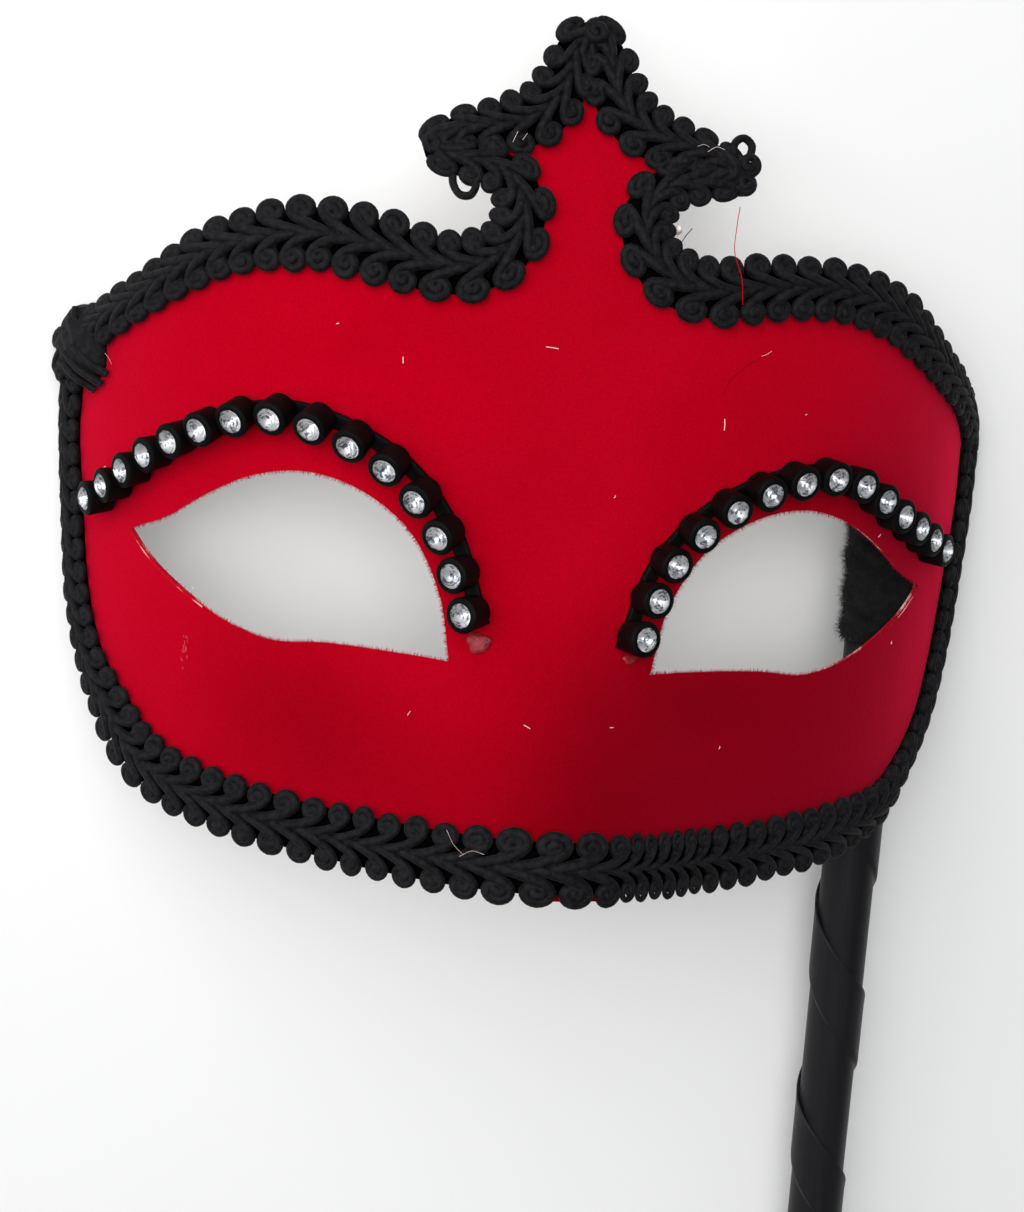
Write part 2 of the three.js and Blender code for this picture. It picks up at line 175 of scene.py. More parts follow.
def ringFaces(rings, count, closedUp=False):
    faces = []
    for k in range(rings if closedUp else rings - 1):
        here, above = k * count, (k + 1) % rings * count
        for j in range(count):
            n = (j + 1) % count
            faces.append((here + j, here + n, above + n, above + j))
    return faces


def bake(made):
    shown = bpy.context.evaluated_depsgraph_get()
    solid = bpy.data.meshes.new_from_object(
        made.evaluated_get(shown), preserve_all_data_layers=True, depsgraph=shown)
    made.modifiers.clear()
    bare = made.data
    made.data = solid
    bpy.data.meshes.remove(bare)
    solid.name = made.name
    return made


def addNode(tree, kind, inputs=None, **props):
    made = tree.nodes.new(kind)
    for key, value in props.items():
        setattr(made, key, value)
    for key, value in (inputs or {}).items():
        if isinstance(value, bpy.types.NodeSocket):
            tree.links.new(value, made.inputs[key])
        else:
            made.inputs[key].default_value = value
    return made


def vectorMath(tree, operation, *values):
    return addNode(tree, "ShaderNodeVectorMath", dict(enumerate(values)), operation=operation).outputs[0]


def dotProduct(tree, first, second):
    made = addNode(tree, "ShaderNodeVectorMath", {0: first, 1: second}, operation="DOT_PRODUCT")
    return made.outputs["Value"]


def scaled(tree, vector, factor):
    return addNode(tree, "ShaderNodeVectorMath", {0: vector, "Scale": factor}, operation="SCALE").outputs[0]


def number(tree, operation, *values):
    return addNode(tree, "ShaderNodeMath", dict(enumerate(values)), operation=operation).outputs[0]


def mapped(tree, value, low, high, least, most, **props):
    return addNode(tree, "ShaderNodeMapRange", {
        "Value": value, "From Min": low, "From Max": high, "To Min": least, "To Max": most},
        **props).outputs["Result"]


def noiseAt(tree, place, scale, detail):
    return addNode(tree, "ShaderNodeTexNoise", {
        "Vector": place, "Scale": scale, "Detail": detail}).outputs["Fac"]


def blend(tree, share, first, second, how="MIX"):
    return addNode(tree, "ShaderNodeMix", {
        0: share, 6: first, 7: second}, data_type="RGBA", blend_type=how).outputs[2]


# surface effects that several finishes share

def toneDriftGroup():
    tree = bpy.data.node_groups.new("toneDrift", "ShaderNodeTree")
    for label in ("Scale", "Low", "High"):
        tree.interface.new_socket(label, in_out="INPUT", socket_type="NodeSocketFloat")
    for label in ("Dark", "Light"):
        tree.interface.new_socket(label, in_out="INPUT", socket_type="NodeSocketColor")
    tree.interface.new_socket("Color", in_out="OUTPUT", socket_type="NodeSocketColor")
    start = addNode(tree, "NodeGroupInput").outputs
    place = addNode(tree, "ShaderNodeTexCoord").outputs["Object"]
    share = mapped(tree, noiseAt(tree, place, start["Scale"], 3.0), start["Low"], start["High"], 0.0, 1.0)
    addNode(tree, "NodeGroupOutput", {"Color": blend(tree, share, start["Dark"], start["Light"])})
    return tree


def fineNapGroup():
    tree = bpy.data.node_groups.new("fineNap", "ShaderNodeTree")
    for label in ("Scale", "Strength", "Depth"):
        tree.interface.new_socket(label, in_out="INPUT", socket_type="NodeSocketFloat")
    tree.interface.new_socket("Normal", in_out="OUTPUT", socket_type="NodeSocketVector")
    start = addNode(tree, "NodeGroupInput").outputs
    place = addNode(tree, "ShaderNodeTexCoord").outputs["Object"]
    bump = addNode(tree, "ShaderNodeBump", {
        "Height": noiseAt(tree, place, start["Scale"], 2.0), "Strength": start["Strength"],
        "Distance": start["Depth"]})
    addNode(tree, "NodeGroupOutput", {"Normal": bump.outputs["Normal"]})
    return tree


toneDrift = toneDriftGroup()
fineNap = fineNapGroup()


def newFinish(name, **constants):
    material = bpy.data.materials.new(name)
    material.use_nodes = True
    shader = material.node_tree.nodes["Principled BSDF"]
    for label, value in constants.items():
        shader.inputs[label.replace("_", " ")].default_value = value
    return material, material.node_tree, shader


def drift(tree, shader, scale, dark, light, low=0.35, high=0.65):
    tones = addNode(tree, "ShaderNodeGroup", {
        "Scale": scale, "Dark": (*dark, 1), "Light": (*light, 1), "Low": low, "High": high},
        node_tree=toneDrift).outputs["Color"]
    tree.links.new(tones, shader.inputs["Base Color"])
    return tones


def nap(tree, shader, scale, strength, depth):
    grain = addNode(tree, "ShaderNodeGroup", {
        "Scale": scale, "Strength": strength, "Depth": depth}, node_tree=fineNap)
    tree.links.new(grain.outputs["Normal"], shader.inputs["Normal"])


def grainedFinish(name, tones, grain=None, **constants):
    material, tree, shader = newFinish(name, **constants)
    drift(tree, shader, *tones)
    if grain:
        nap(tree, shader, *grain)
    return material


# painted shade that the form and the lights don't give: a gradient down to the right and soft darker places
flock = {
    "grain": 2200.0, "grainLeast": 0.9, "grainMost": 1.05,
    "shadeWay": (0.6, -0.8, 0), "shadeFrom": -0.085, "shadeTo": -0.03, "shaded": 0.48,
}
paintedShadePlaces = [  # middle and spread across and up the row frame in mm, how much darker
    (-37, 68, 21, 15, 0.3), (25, 79, 13, 8, 0.25), (6, 71, 13, 18, 0.18),
]


# painted shade: one soft darker place in the flock's colour
def paintedShadeAt(tree, place, across, up, wide, high, share):
    away = vectorMath(tree, "SUBTRACT", place, (across * mm, up * mm, 0))
    shares = vectorMath(tree, "MULTIPLY", away, (1 / (wide * mm), 1 / (high * mm), 0))
    fall = number(tree, "MULTIPLY", dotProduct(tree, shares, shares), -1.0)
    return mapped(tree, number(tree, "EXPONENT", fall), 0.0, 1.0, 1.0, 1 - share)


def flockFinish():
    material, tree, shader = newFinish(
        "redFlock", Roughness=1.0, Sheen_Weight=1.0, Sheen_Roughness=0.5, Specular_IOR_Level=0.0,
        Sheen_Tint=(1.0, 0.025, 0.085, 1))
    tones = drift(tree, shader, 45, (0.35, 0.0001, 0.007), (0.39, 0.0002, 0.009), 0.3, 0.7)
    place = addNode(tree, "ShaderNodeTexCoord").outputs["Object"]
    grain = noiseAt(tree, place, flock["grain"], 2.0)
    speckle = mapped(tree, grain, 0.3, 0.7, flock["grainLeast"], flock["grainMost"])
    # painted shade in the base colour: darker down to the right and at the listed places, over the flock's
    # real grain
    shade = mapped(tree, dotProduct(tree, place, flock["shadeWay"]), flock["shadeFrom"], flock["shadeTo"],
                   1.0, flock["shaded"], interpolation_type="SMOOTHSTEP")
    shade = number(tree, "MULTIPLY", speckle, shade)
    for darker in paintedShadePlaces:
        shade = number(tree, "MULTIPLY", shade, paintedShadeAt(tree, place, *darker))
    tree.links.new(blend(tree, 1.0, tones, shade, "MULTIPLY"), shader.inputs["Base Color"])
    nap(tree, shader, 2600, 0.3, 0.0003)
    return material


def ribbonFinish():
    material, tree, shader = newFinish(
        "satinRibbon", Roughness=0.5, Specular_IOR_Level=0.2, Sheen_Weight=0.06, Sheen_Roughness=0.3)
    cloth = addNode(tree, "ShaderNodeUVMap", uv_map="cloth").outputs["UV"]
    # painted sheen: lighter streaks running along the stick, from noise stretched across the ribbon's width,
    # in the base colour
    sheenStreakCloth = addNode(tree, "ShaderNodeMapping", {"Vector": cloth, "Scale": (1.6, 0.05, 1)}).outputs["Vector"]
    paintedSheenStreaks = noiseAt(tree, sheenStreakCloth, 1.0, 3.0)
    tones = blend(tree, paintedSheenStreaks, (0.0015, 0.0015, 0.002, 1), (0.0095, 0.0095, 0.0115, 1))
    tree.links.new(tones, shader.inputs["Base Color"])
    weave = addNode(tree, "ShaderNodeTexWave", {
        "Vector": cloth, "Scale": 0.6, "Distortion": 0.4}, bands_direction="Y").outputs["Fac"]
    bump = addNode(tree, "ShaderNodeBump", {"Height": weave, "Strength": 0.25, "Distance": 0.00006})
    tree.links.new(bump.outputs["Normal"], shader.inputs["Normal"])
    return material


def dowelFinish():
    material, tree, shader = newFinish("dowelWood", Roughness=0.6, Specular_IOR_Level=0.3)
    place = addNode(tree, "ShaderNodeTexCoord").outputs["Object"]
    drawn = addNode(tree, "ShaderNodeMapping", {"Vector": place, "Scale": (900, 40, 900)}).outputs["Vector"]
    tones = blend(tree, noiseAt(tree, drawn, 1.0, 4.0), (0.36, 0.21, 0.09, 1), (0.58, 0.4, 0.2, 1))
    tree.links.new(tones, shader.inputs["Base Color"])
    nap(tree, shader, 600, 0.15, 0.0002)
    return material


# tones are scale, dark, light and the noise's range; a grain is scale, strength and depth
redFlock = flockFinish()
cutEdge = grainedFinish(
    "cutEdge", (130, (0.36, 0.002, 0.01), (0.8, 0.5, 0.48), 0.46, 0.6),
    Roughness=0.8, Specular_IOR_Level=0.15)
rubbedFlock = grainedFinish(
    "rubbedFlock", (900, (0.45, 0.01, 0.03), (0.66, 0.07, 0.1)), Roughness=1.0, Specular_IOR_Level=0.0)
shellPlastic = grainedFinish(
    "shellPlastic", (90, (0.84, 0.8, 0.77), (0.9, 0.87, 0.85)), (300, 0.1, 0.0002),
    Roughness=0.4, Specular_IOR_Level=0.4)
blackCord = grainedFinish(
    "blackCord", (900, (0.0012, 0.0012, 0.0016), (0.0078, 0.0072, 0.0092)), (2400, 0.55, 0.0003),
    Roughness=0.72, Specular_IOR_Level=0.14, Sheen_Weight=0.03, Sheen_Roughness=0.35)
# core under the loops: near black, darker and duller than the cord, as painted shade in the gaps between the
# loops
braidGround = grainedFinish(
    "braidGround", (500, (0.0004, 0.0004, 0.0005), (0.0016, 0.0015, 0.0018)),
    Roughness=1.0, Specular_IOR_Level=0.0)
driedGlue = grainedFinish(
    "driedGlue", (900, (0.17, 0.003, 0.009), (0.29, 0.014, 0.022)), (1200, 0.5, 0.0004),
    Roughness=0.35, Specular_IOR_Level=0.2)
cupPlastic = grainedFinish(
    "cupPlastic", (400, (0.001, 0.001, 0.0011), (0.003, 0.0028, 0.003)), (500, 0.12, 0.0001),
    Roughness=0.55, Specular_IOR_Level=0.06)
cutCrystal = grainedFinish(
    "cutCrystal", (300, (0.95, 0.97, 1.0), (1.0, 1.0, 1.0)), Roughness=0.0, IOR=1.55, Transmission_Weight=1.0)
# silver foil behind the stones; the dark blue-grey patches in its colour are painted reflection, standing in
# for the dark facets of a cut stone
silverBack = grainedFinish(
    "silverBack", (1500, (0.18, 0.2, 0.26), (1.0, 1.0, 1.0), 0.42, 0.48), Roughness=0.4, Metallic=1.0)
satinRibbon = ribbonFinish()
blackFelt = grainedFinish(
    "blackFelt", (500, (0.003, 0.003, 0.0035), (0.009, 0.009, 0.01)), (900, 0.6, 0.0006),
    Roughness=1.0, Specular_IOR_Level=0.05, Sheen_Weight=0.06, Sheen_Roughness=0.6)
dowelWood = dowelFinish()
paleLint = grainedFinish("paleLint", (200, (0.5, 0.32, 0.28), (0.8, 0.72, 0.68)), Roughness=0.8)
paleFloor = grainedFinish(
    "paleFloor", (4, (0.79, 0.79, 0.785), (0.81, 0.81, 0.805)), Roughness=0.85, Specular_IOR_Level=0.1)
print("finishes ready")

# flat pattern of the shell: distance around the face from its middle, distance up it
shellEdge = [
    (0, -32), (34, -32.2), (56, -30), (71, -25), (82, -13), (90, 1.5), (94, 18), (97.4, 36),
    (97.8, 41.6), (93.4, 46.4), (75.5, 56), (59.3, 65.8), (44, 69.7), (30, 68.6), (20.5, 67.2),
    (14.9, 69.2), (13.4, 73), (15.4, 76.4), (20.4, 78), (24.6, 79.6), (25.6, 82.6), (22, 86),
    (14.4, 89), (9.4, 92.2), (7.1, 96), (4.4, 101.4), (0, 103.9),
]
eyeUpper = [
    (74.6, 15.7), (67, 18.7), (58, 24.2), (50, 28), (41, 29.5), (32, 27.4), (24, 21.8), (18.6, 12.4),
    (16.3, 2),
]
eyeLower = [(16.3, 2), (24, 2.4), (36, 2.5), (45, 1.8), (53, 3.5), (63, 8), (70, 12), (74.6, 15.7)]
shell = {
    "wall": 1.5, "rimWall": 0.55, "taper": 4.0, "inside": 1.5, "edge": 0.9, "eye": 0.6, "clear": 0.6,
    "sharpAngle": 40, "tuckedIn": 1.2, "peep": 0.9, "peepFrom": -1.0, "peepTo": 13.0, "tiny": 1e-6,
}
edgeLine = smoothLine(shellEdge + [(-x, y) for x, y in shellEdge[-2:0:-1]], closed=True)
rightEye = np.concatenate([evenly(smoothLine(half), shell["eye"])[:-1] for half in (eyeUpper, eyeLower)])
eyeLines = [rightEye, rightEye * [-1, 1]]


def maskFace():
    outline = evenly(edgeLine, shell["edge"])[:-1]
    inward = leftOfWay(np.roll(outline, -1, axis=0) - np.roll(outline, 1, axis=0))
    x, y = outline.T
    peeps = (y < 0) & (x > shell["peepFrom"]) & (x < shell["peepTo"])  # the edge shows below the braid here
    outline = outline + inward * np.where(peeps, -shell["peep"], shell["tuckedIn"])[:, None]
    rims = np.concatenate([outline, *eyeLines])

    def onSheet(flat):
        return insideOf(outline, flat) & ~insideOf(eyeLines[0], flat) & ~insideOf(eyeLines[1], flat)

    def fromRims(flat):
        return np.array([np.min(np.hypot(*(rims - p).T)) for p in flat])

    spacing = shell["inside"]
    low, high = outline.min(0), outline.max(0)
    across = np.arange(low[0], high[0], spacing)
    upwards = np.arange(low[1], high[1], spacing * math.sqrt(3) / 2)
    grid = np.array([(x + (row % 2) * spacing / 2, y) for row, y in enumerate(upwards) for x in across])
    grid = grid[onSheet(grid)]
    grid = grid[fromRims(grid) > shell["clear"] * spacing]
    loops, first = [], 0
    for line in (outline, *eyeLines):
        loops += [(first + i, first + (i + 1) % len(line)) for i in range(len(line))]
        first += len(line)
    points = [Vector(p) for p in np.concatenate([rims, grid])]
    corners, _, triangles = delaunay_2d_cdt(points, loops, [], 0, shell["tiny"])[:3]
    flat = np.array([tuple(p) for p in corners])
    triangles = np.array(triangles)
    triangles = triangles[onSheet(flat[triangles].mean(1))]
    a, b, c = (flat[triangles[:, k]] for k in range(3))
    turned = (b[:, 0] - a[:, 0]) * (c[:, 1] - a[:, 1]) - (b[:, 1] - a[:, 1]) * (c[:, 0] - a[:, 0]) < 0
    triangles[turned] = triangles[turned][:, ::-1]
    ease = np.clip(fromRims(flat) / shell["taper"], 0, 1)
    wall = shell["rimWall"] + (shell["wall"] - shell["rimWall"]) * smoothStep(ease)
    count = len(flat)
    both = np.concatenate([toRow(facePoint(flat)), toRow(wrap(flat, -wall))])
    sides = {(s[k], s[(k + 1) % 3]) for s in triangles.tolist() for k in range(3)}
    border = sorted(s for s in sides if (s[1], s[0]) not in sides)
    faces = triangles.tolist() + (triangles[:, ::-1] + count).tolist()
    faces += [(i, i + count, j + count, j) for i, j in border]
    skins = [redFlock, shellPlastic, cutEdge]
    made = meshObject("maskFace", both, faces, skins, sharpAngle=shell["sharpAngle"])
    skinOf = [0] * len(triangles) + [1] * len(triangles) + [2] * len(border)
    made.data.polygons.foreach_set("material_index", skinOf)
    return made


face = maskFace()
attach(face, "root")
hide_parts("mask_shell")
print("shell", len(face.data.polygons), "faces")


# geometry node trees, each grown on a guide mesh and its named attributes

def newTree(name, inputs):
    tree = bpy.data.node_groups.new(name, "GeometryNodeTree")
    tree.interface.new_socket("Geometry", in_out="INPUT", socket_type="NodeSocketGeometry")
    for label, kind in inputs:
        tree.interface.new_socket(label, in_out="INPUT", socket_type="NodeSocket" + kind)
    tree.interface.new_socket("Geometry", in_out="OUTPUT", socket_type="NodeSocketGeometry")
    return tree, addNode(tree, "NodeGroupInput").outputs


def grow(guide, tree, values):
    modifier = guide.modifiers.new(tree.name, "NODES")
    modifier.node_group = tree
    for item in tree.interface.items_tree:
        if item.in_out == "INPUT" and item.name in values:
            modifier[item.identifier] = values[item.name]
    return bake(guide)


def guideMesh(name, points, edges, **attributes):
    mesh = bpy.data.meshes.new(name + "Guide")
    mesh.from_pydata([tuple(p) for p in points], edges, [])
    for label, values in attributes.items():
        values = np.asarray(values)
        kind = "FLOAT_VECTOR" if values.ndim == 2 else "INT" if values.dtype.kind == "i" else "FLOAT"
        field = "vector" if values.ndim == 2 else "value"
        layer = mesh.attributes.new(label, kind, "POINT")
        layer.data.foreach_set(field, values.ravel())
    made = bpy.data.objects.new(name, mesh)
    bpy.context.scene.collection.objects.link(made)
    return made


def named(tree, label, kind):
    made = addNode(tree, "GeometryNodeInputNamedAttribute", {"Name": label}, data_type=kind)
    return made.outputs["Attribute"]


def randomNumber(tree, given, least, most, **more):
    return addNode(tree, "FunctionNodeRandomValue", {2: least, 3: most, "Seed": given["Seed"], **more},
                   data_type="FLOAT").outputs[1]


def randomVector(tree, given, reach):
    return addNode(tree, "FunctionNodeRandomValue", {
        0: tuple(-r for r in reach), 1: reach, "Seed": given["Seed"]}, data_type="FLOAT_VECTOR").outputs[0]


def fibreCone(tree, given, fill):
    return addNode(tree, "GeometryNodeMeshCone", {
        "Vertices": 3, "Radius Top": 0.0, "Radius Bottom": given["Radius"], "Depth": given["Length"]},
        fill_type=fill).outputs[0]


def sweptAlong(tree, line, given, radius, **more):
    section = addNode(tree, "GeometryNodeCurvePrimitiveCircle", {
        "Resolution": given["Sides"], "Radius": given[radius]}).outputs[0]
    return addNode(tree, "GeometryNodeCurveToMesh", {
        "Curve": line, "Profile Curve": section, "Fill Caps": True, **more}).outputs[0]


def finishTree(tree, geometry, material):
    real = addNode(tree, "GeometryNodeRealizeInstances", {"Geometry": geometry}).outputs[0]
    smooth = addNode(tree, "GeometryNodeSetShadeSmooth", {"Geometry": real}).outputs[0]
    coated = addNode(tree, "GeometryNodeSetMaterial", {"Geometry": smooth, "Material": material}).outputs[0]
    addNode(tree, "NodeGroupOutput", {"Geometry": coated})
    return tree


# pile that stands out round the eye openings
fringe = {
    "spacing": 0.085, "length": 0.75, "radius": 0.07, "stray": 0.5, "seed": 3, "inset": 0.1, "rise": 0.25,
    "sunk": 0.05, "probe": 0.3, "step": 0.2, "apart": 3, "shortest": 0.35, "longest": 1.2,
}


def fringeTree():
    tree, given = newTree("fibreFringe", [
        ("Length", "Float"), ("Radius", "Float"), ("Stray", "Float"), ("Seed", "Int"),
        ("Material", "Material")])
    loose = scaled(tree, randomVector(tree, given, (1.0, 1.0, 1.0)), given["Stray"])
    way = vectorMath(tree, "ADD", named(tree, "standing", "FLOAT_VECTOR"), loose)
    turned = addNode(tree, "FunctionNodeAlignRotationToVector", {"Vector": way}, axis="Z").outputs[0]
    fibres = addNode(tree, "GeometryNodeInstanceOnPoints", {
        "Points": given["Geometry"], "Instance": fibreCone(tree, given, "NGON"), "Rotation": turned,
        "Scale": randomNumber(tree, given, fringe["shortest"], fringe["longest"])}).outputs[0]
    return finishTree(tree, fibres, given["Material"])


def eyeFringe():
    places, ways = [], []
    for line in eyeLines:
        rim = evenly(np.concatenate([line, line[:1]]), fringe["spacing"])[:-1]
        into = leftOfWay(np.roll(rim, -fringe["apart"], axis=0) - np.roll(rim, fringe["apart"], axis=0))
        into *= np.where(insideOf(line, rim + fringe["probe"] * into), 1, -1)[:, None]
        foot = rim - into * fringe["inset"]
        places.append(toRow(wrap(foot, np.full(len(rim), -fringe["sunk"]))))
        outwards = unit(toRow(facePoint(foot + into * fringe["step"])) - toRow(facePoint(foot)))
        ways.append(outwards + fringe["rise"] * turnToRow(faceNormal(foot)))
    made = guideMesh("eyeFringe", np.concatenate(places), [], standing=np.concatenate(ways))
    return grow(made, fringeTree(), {
        "Length": fringe["length"] * mm, "Radius": fringe["radius"] * mm, "Stray": fringe["stray"],
        "Seed": fringe["seed"], "Material": redFlock})


rimPile = eyeFringe()
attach(rimPile, "root")
print("eye fringe", len(rimPile.data.polygons), "faces")


def scrollCordTree():
    tree, given = newTree("scrollCord", [
        ("Cord Radius", "Float"), ("Sides", "Int"), ("Lift", "Float"), ("Wander", "Float"), ("Seed", "Int"),
        ("Material", "Material")])
    guide = addNode(tree, "GeometryNodeMeshToCurve", {"Mesh": given["Geometry"]}).outputs[0]
    row = addNode(tree, "GeometryNodeCurveOfPoint").outputs["Curve Index"]
    station = number(tree, "ADD", addNode(tree, "GeometryNodeSplineParameter").outputs["Length"],
                     named(tree, "ahead", "FLOAT"))
    least = number(tree, "SUBTRACT", 1.0, given["Wander"])
    most = number(tree, "ADD", 1.0, given["Wander"])
    stretch = randomNumber(tree, given, least, most, ID=named(tree, "loopNumber", "INT"))

    def sampled(label):
        return addNode(tree, "GeometryNodeSampleCurve", {
            "Curves": guide, "Value": named(tree, label, "FLOAT_VECTOR"), "Length": station,
            "Curve Index": row}, mode="LENGTH", data_type="FLOAT_VECTOR", use_all_curves=False).outputs

    rowEnd = sampled("rowEnd")
    reach = vectorMath(tree, "SUBTRACT", rowEnd["Value"], rowEnd["Position"])
    across = number(tree, "MULTIPLY", named(tree, "across", "FLOAT"), stretch)
    height = number(tree, "MULTIPLY", named(tree, "lift", "FLOAT"), given["Lift"])
    for more in (given["Cord Radius"], named(tree, "raised", "FLOAT")):
        height = number(tree, "ADD", height, more)
    place = vectorMath(tree, "ADD", rowEnd["Position"], scaled(tree, reach, across))
    place = vectorMath(tree, "ADD", place, scaled(tree, sampled("standing")["Value"], height))
    cord = addNode(tree, "GeometryNodeSetPosition", {"Geometry": guide, "Position": place}).outputs[0]
    swept = sweptAlong(tree, cord, given, "Cord Radius", Scale=named(tree, "thickness", "FLOAT"))
    return finishTree(tree, swept, given["Material"])


# scroll braid: two rows of curled loops whose tails lie along the middle like an ear of wheat
braid = {
    "width": 11.6, "overhang": 1.6, "cordRadius": 0.74, "lift": 1.3, "seat": 0.05, "steps": 46, "sides": 9,
    "wander": 0.05, "seed": 4, "rowShift": 0.35, "leastReach": 4.0, "apart": 10.0, "ease": 3.0,
    "fullPitch": 4.3, "thinnest": 0.62, "thickest": 1.25, "meet": 1.3, "facing": 0.5, "perSpan": 16,
    "coreReach": 0.8, "coreHeight": 0.9, "coreEvery": 6, "shoulder": 0.4, "shoulderReach": 0.3,
    "sideFrom": 77.0, "sideEase": 8.0, "sideTop": 38.0, "sideTaken": 3.6, "edgeSteps": 3000,
    "cornerRun": 6.5, "cornerFrom": 8.0, "cornerRaise": 1.9, "raiseRun": 12.0,
    "topFrom": (97.7, 38.6), "topTo": (-93.0, 46.6), "lowerFrom": (-97.8, 41.6), "lowerTo": (97.8, 41.6),
}
scrollLoop = [  # ahead of the loop's middle in pitches, share of the way out, share of the lift
    (-1.3, 0.0, 0.5), (-0.8, 0.07, 0.95), (-0.25, 0.25, 1.0), (0.15, 0.46, 0.75), (0.33, 0.7, 0.5),
    (0.24, 0.91, 0.4), (0.0, 1.0, 0.35), (-0.24, 0.91, 0.35), (-0.33, 0.7, 0.4), (-0.2, 0.52, 0.5),
    (0.05, 0.52, 0.55), (0.15, 0.68, 0.6), (0.02, 0.8, 0.6), (-0.11, 0.7, 0.5), (-0.12, 0.44, 0.3),
    (-0.32, 0.2, 0.45),
]
topPitch = [  # share of the run, pitch in mm
    (0.0, 4.3), (0.3, 4.7), (0.4, 4.2), (0.6, 4.2), (0.7, 4.8), (1.0, 4.6),
]
lowerPitch = [
    (0.0, 4.2), (0.15, 4.0), (0.25, 4.3), (0.34, 4.5), (0.354, 5.0), (0.37, 4.5), (0.395, 3.9), (0.44, 4.4),
    (0.465, 5.0), (0.48, 5.8), (0.5, 6.2), (0.52, 5.8), (0.535, 4.6), (0.545, 3.2), (0.553, 2.5), (0.59, 2.5),
    (0.605, 3.4), (0.63, 4.0), (0.85, 4.1), (1.0, 4.2),
]
unevenPlaces = [  # around, up, spread, how much narrower, how much further out
    (-80, 52, 28, 3.6, 0.0), (84, 50, 22, 3.2, -0.5), (-38, 69, 14, 0.0, 1.1), (44, 69, 15, 0.0, -1.2),
    (78, -18, 16, 3.2, -0.8),
]

edgeCount = braid["edgeSteps"]
edgeLength = lengthsAlong(edgeLine)[-1]
edgeStep = edgeLength / edgeCount
edgeDense = atLengths(edgeLine, np.linspace(0, edgeLength, edgeCount + 1))[:-1]


def running(values, reachOut):
    width = 2 * int(reachOut / edgeStep) + 1
    padded = np.concatenate([values[-width:], values, values[:width]])
    kernel = np.ones(width) / width
    columns = padded.reshape(len(padded), -1).T
    return np.stack([np.convolve(column, kernel, "same") for column in columns], 1)[width:-width]


def braidEdges():
    inward = leftOfWay(np.roll(edgeDense, -1, axis=0) - np.roll(edgeDense, 1, axis=0))
    full = braid["width"] - braid["overhang"]
    reach = np.full(edgeCount, full)
    steps = np.arange(edgeCount)
    for i in range(edgeCount):
        away = edgeDense - edgeDense[i]
        depth = away @ inward[i]
        between = np.abs((steps - i + edgeCount // 2) % edgeCount - edgeCount // 2) * edgeStep
        facing = (depth > braid["facing"]) & (between > braid["apart"])
        if facing.any():
            halfway = np.min((away[facing] ** 2).sum(1) / (2 * depth[facing]))
            reach[i] = min(full, halfway + braid["meet"])
    around, up = np.abs(edgeDense[:, 0]), edgeDense[:, 1]
    aside = np.clip((around - braid["sideFrom"]) / braid["sideEase"], 0, 1)
    reach -= braid["sideTaken"] * aside * np.clip((braid["sideTop"] - up) / braid["sideEase"], 0, 1)
    overhang = np.full(edgeCount, braid["overhang"])
    for aroundAt, upAt, spread, taken, further in unevenPlaces:
        near = np.exp(-(((edgeDense - [aroundAt, upAt]) / spread) ** 2).sum(1))
        reach -= taken * near
        overhang += further * near
    reach = running(np.maximum(reach, braid["leastReach"]), braid["ease"])
    outer = edgeDense - inward * (overhang - braid["cordRadius"])[:, None]
    inner = running(edgeDense + inward * (reach - braid["cordRadius"]), braid["ease"])
    return outer, inner


braidOuter, braidInner = braidEdges()


def nearestStep(corner):
    return np.argmin(np.hypot(*(edgeDense - braid[corner]).T))


def stripMesh(name, rings, material):
    count = rings.shape[1]
    last = (len(rings) - 1) * count
    faces = ringFaces(len(rings), count)
    faces += [tuple(range(count)), tuple(range(last, last + count))]
    made = meshObject(name, rings.reshape(-1, 3), faces, [material])
    faceOutwards(made)
    return made


# a strip under the loops whose finish is painted shade, so the gaps and loop holes look dark
def braidCore(name, middle, outer, inner, raised):
    every = slice(None, None, braid["coreEvery"])
    reach, top = braid["coreReach"], braid["coreHeight"]
    half = [(reach, 0), (reach, braid["shoulder"] * top), (braid["shoulderReach"], top)]
    section = [(outer, *corner) for corner in half] + [(inner, *corner) for corner in half[::-1]]
    rings = [toRow(wrap((middle + (end - middle) * share)[every], raised[every] + height + braid["seat"]))
             for end, share, height in section]
    return stripMesh(name, np.stack(rings, 1), braidGround)


def joinInto(made, other, *materials):
    own = len(made.data.polygons)
    work = bmesh.new()
    work.from_mesh(made.data)
    work.from_mesh(other.data)
    work.to_mesh(made.data)
    work.free()
    bpy.data.objects.remove(other)
    made.data.materials.clear()
    for material in materials:
        made.data.materials.append(material)
    added = len(made.data.polygons) - own
    made.data.polygons.foreach_set("material_index", [0] * own + [len(materials) - 1] * added)


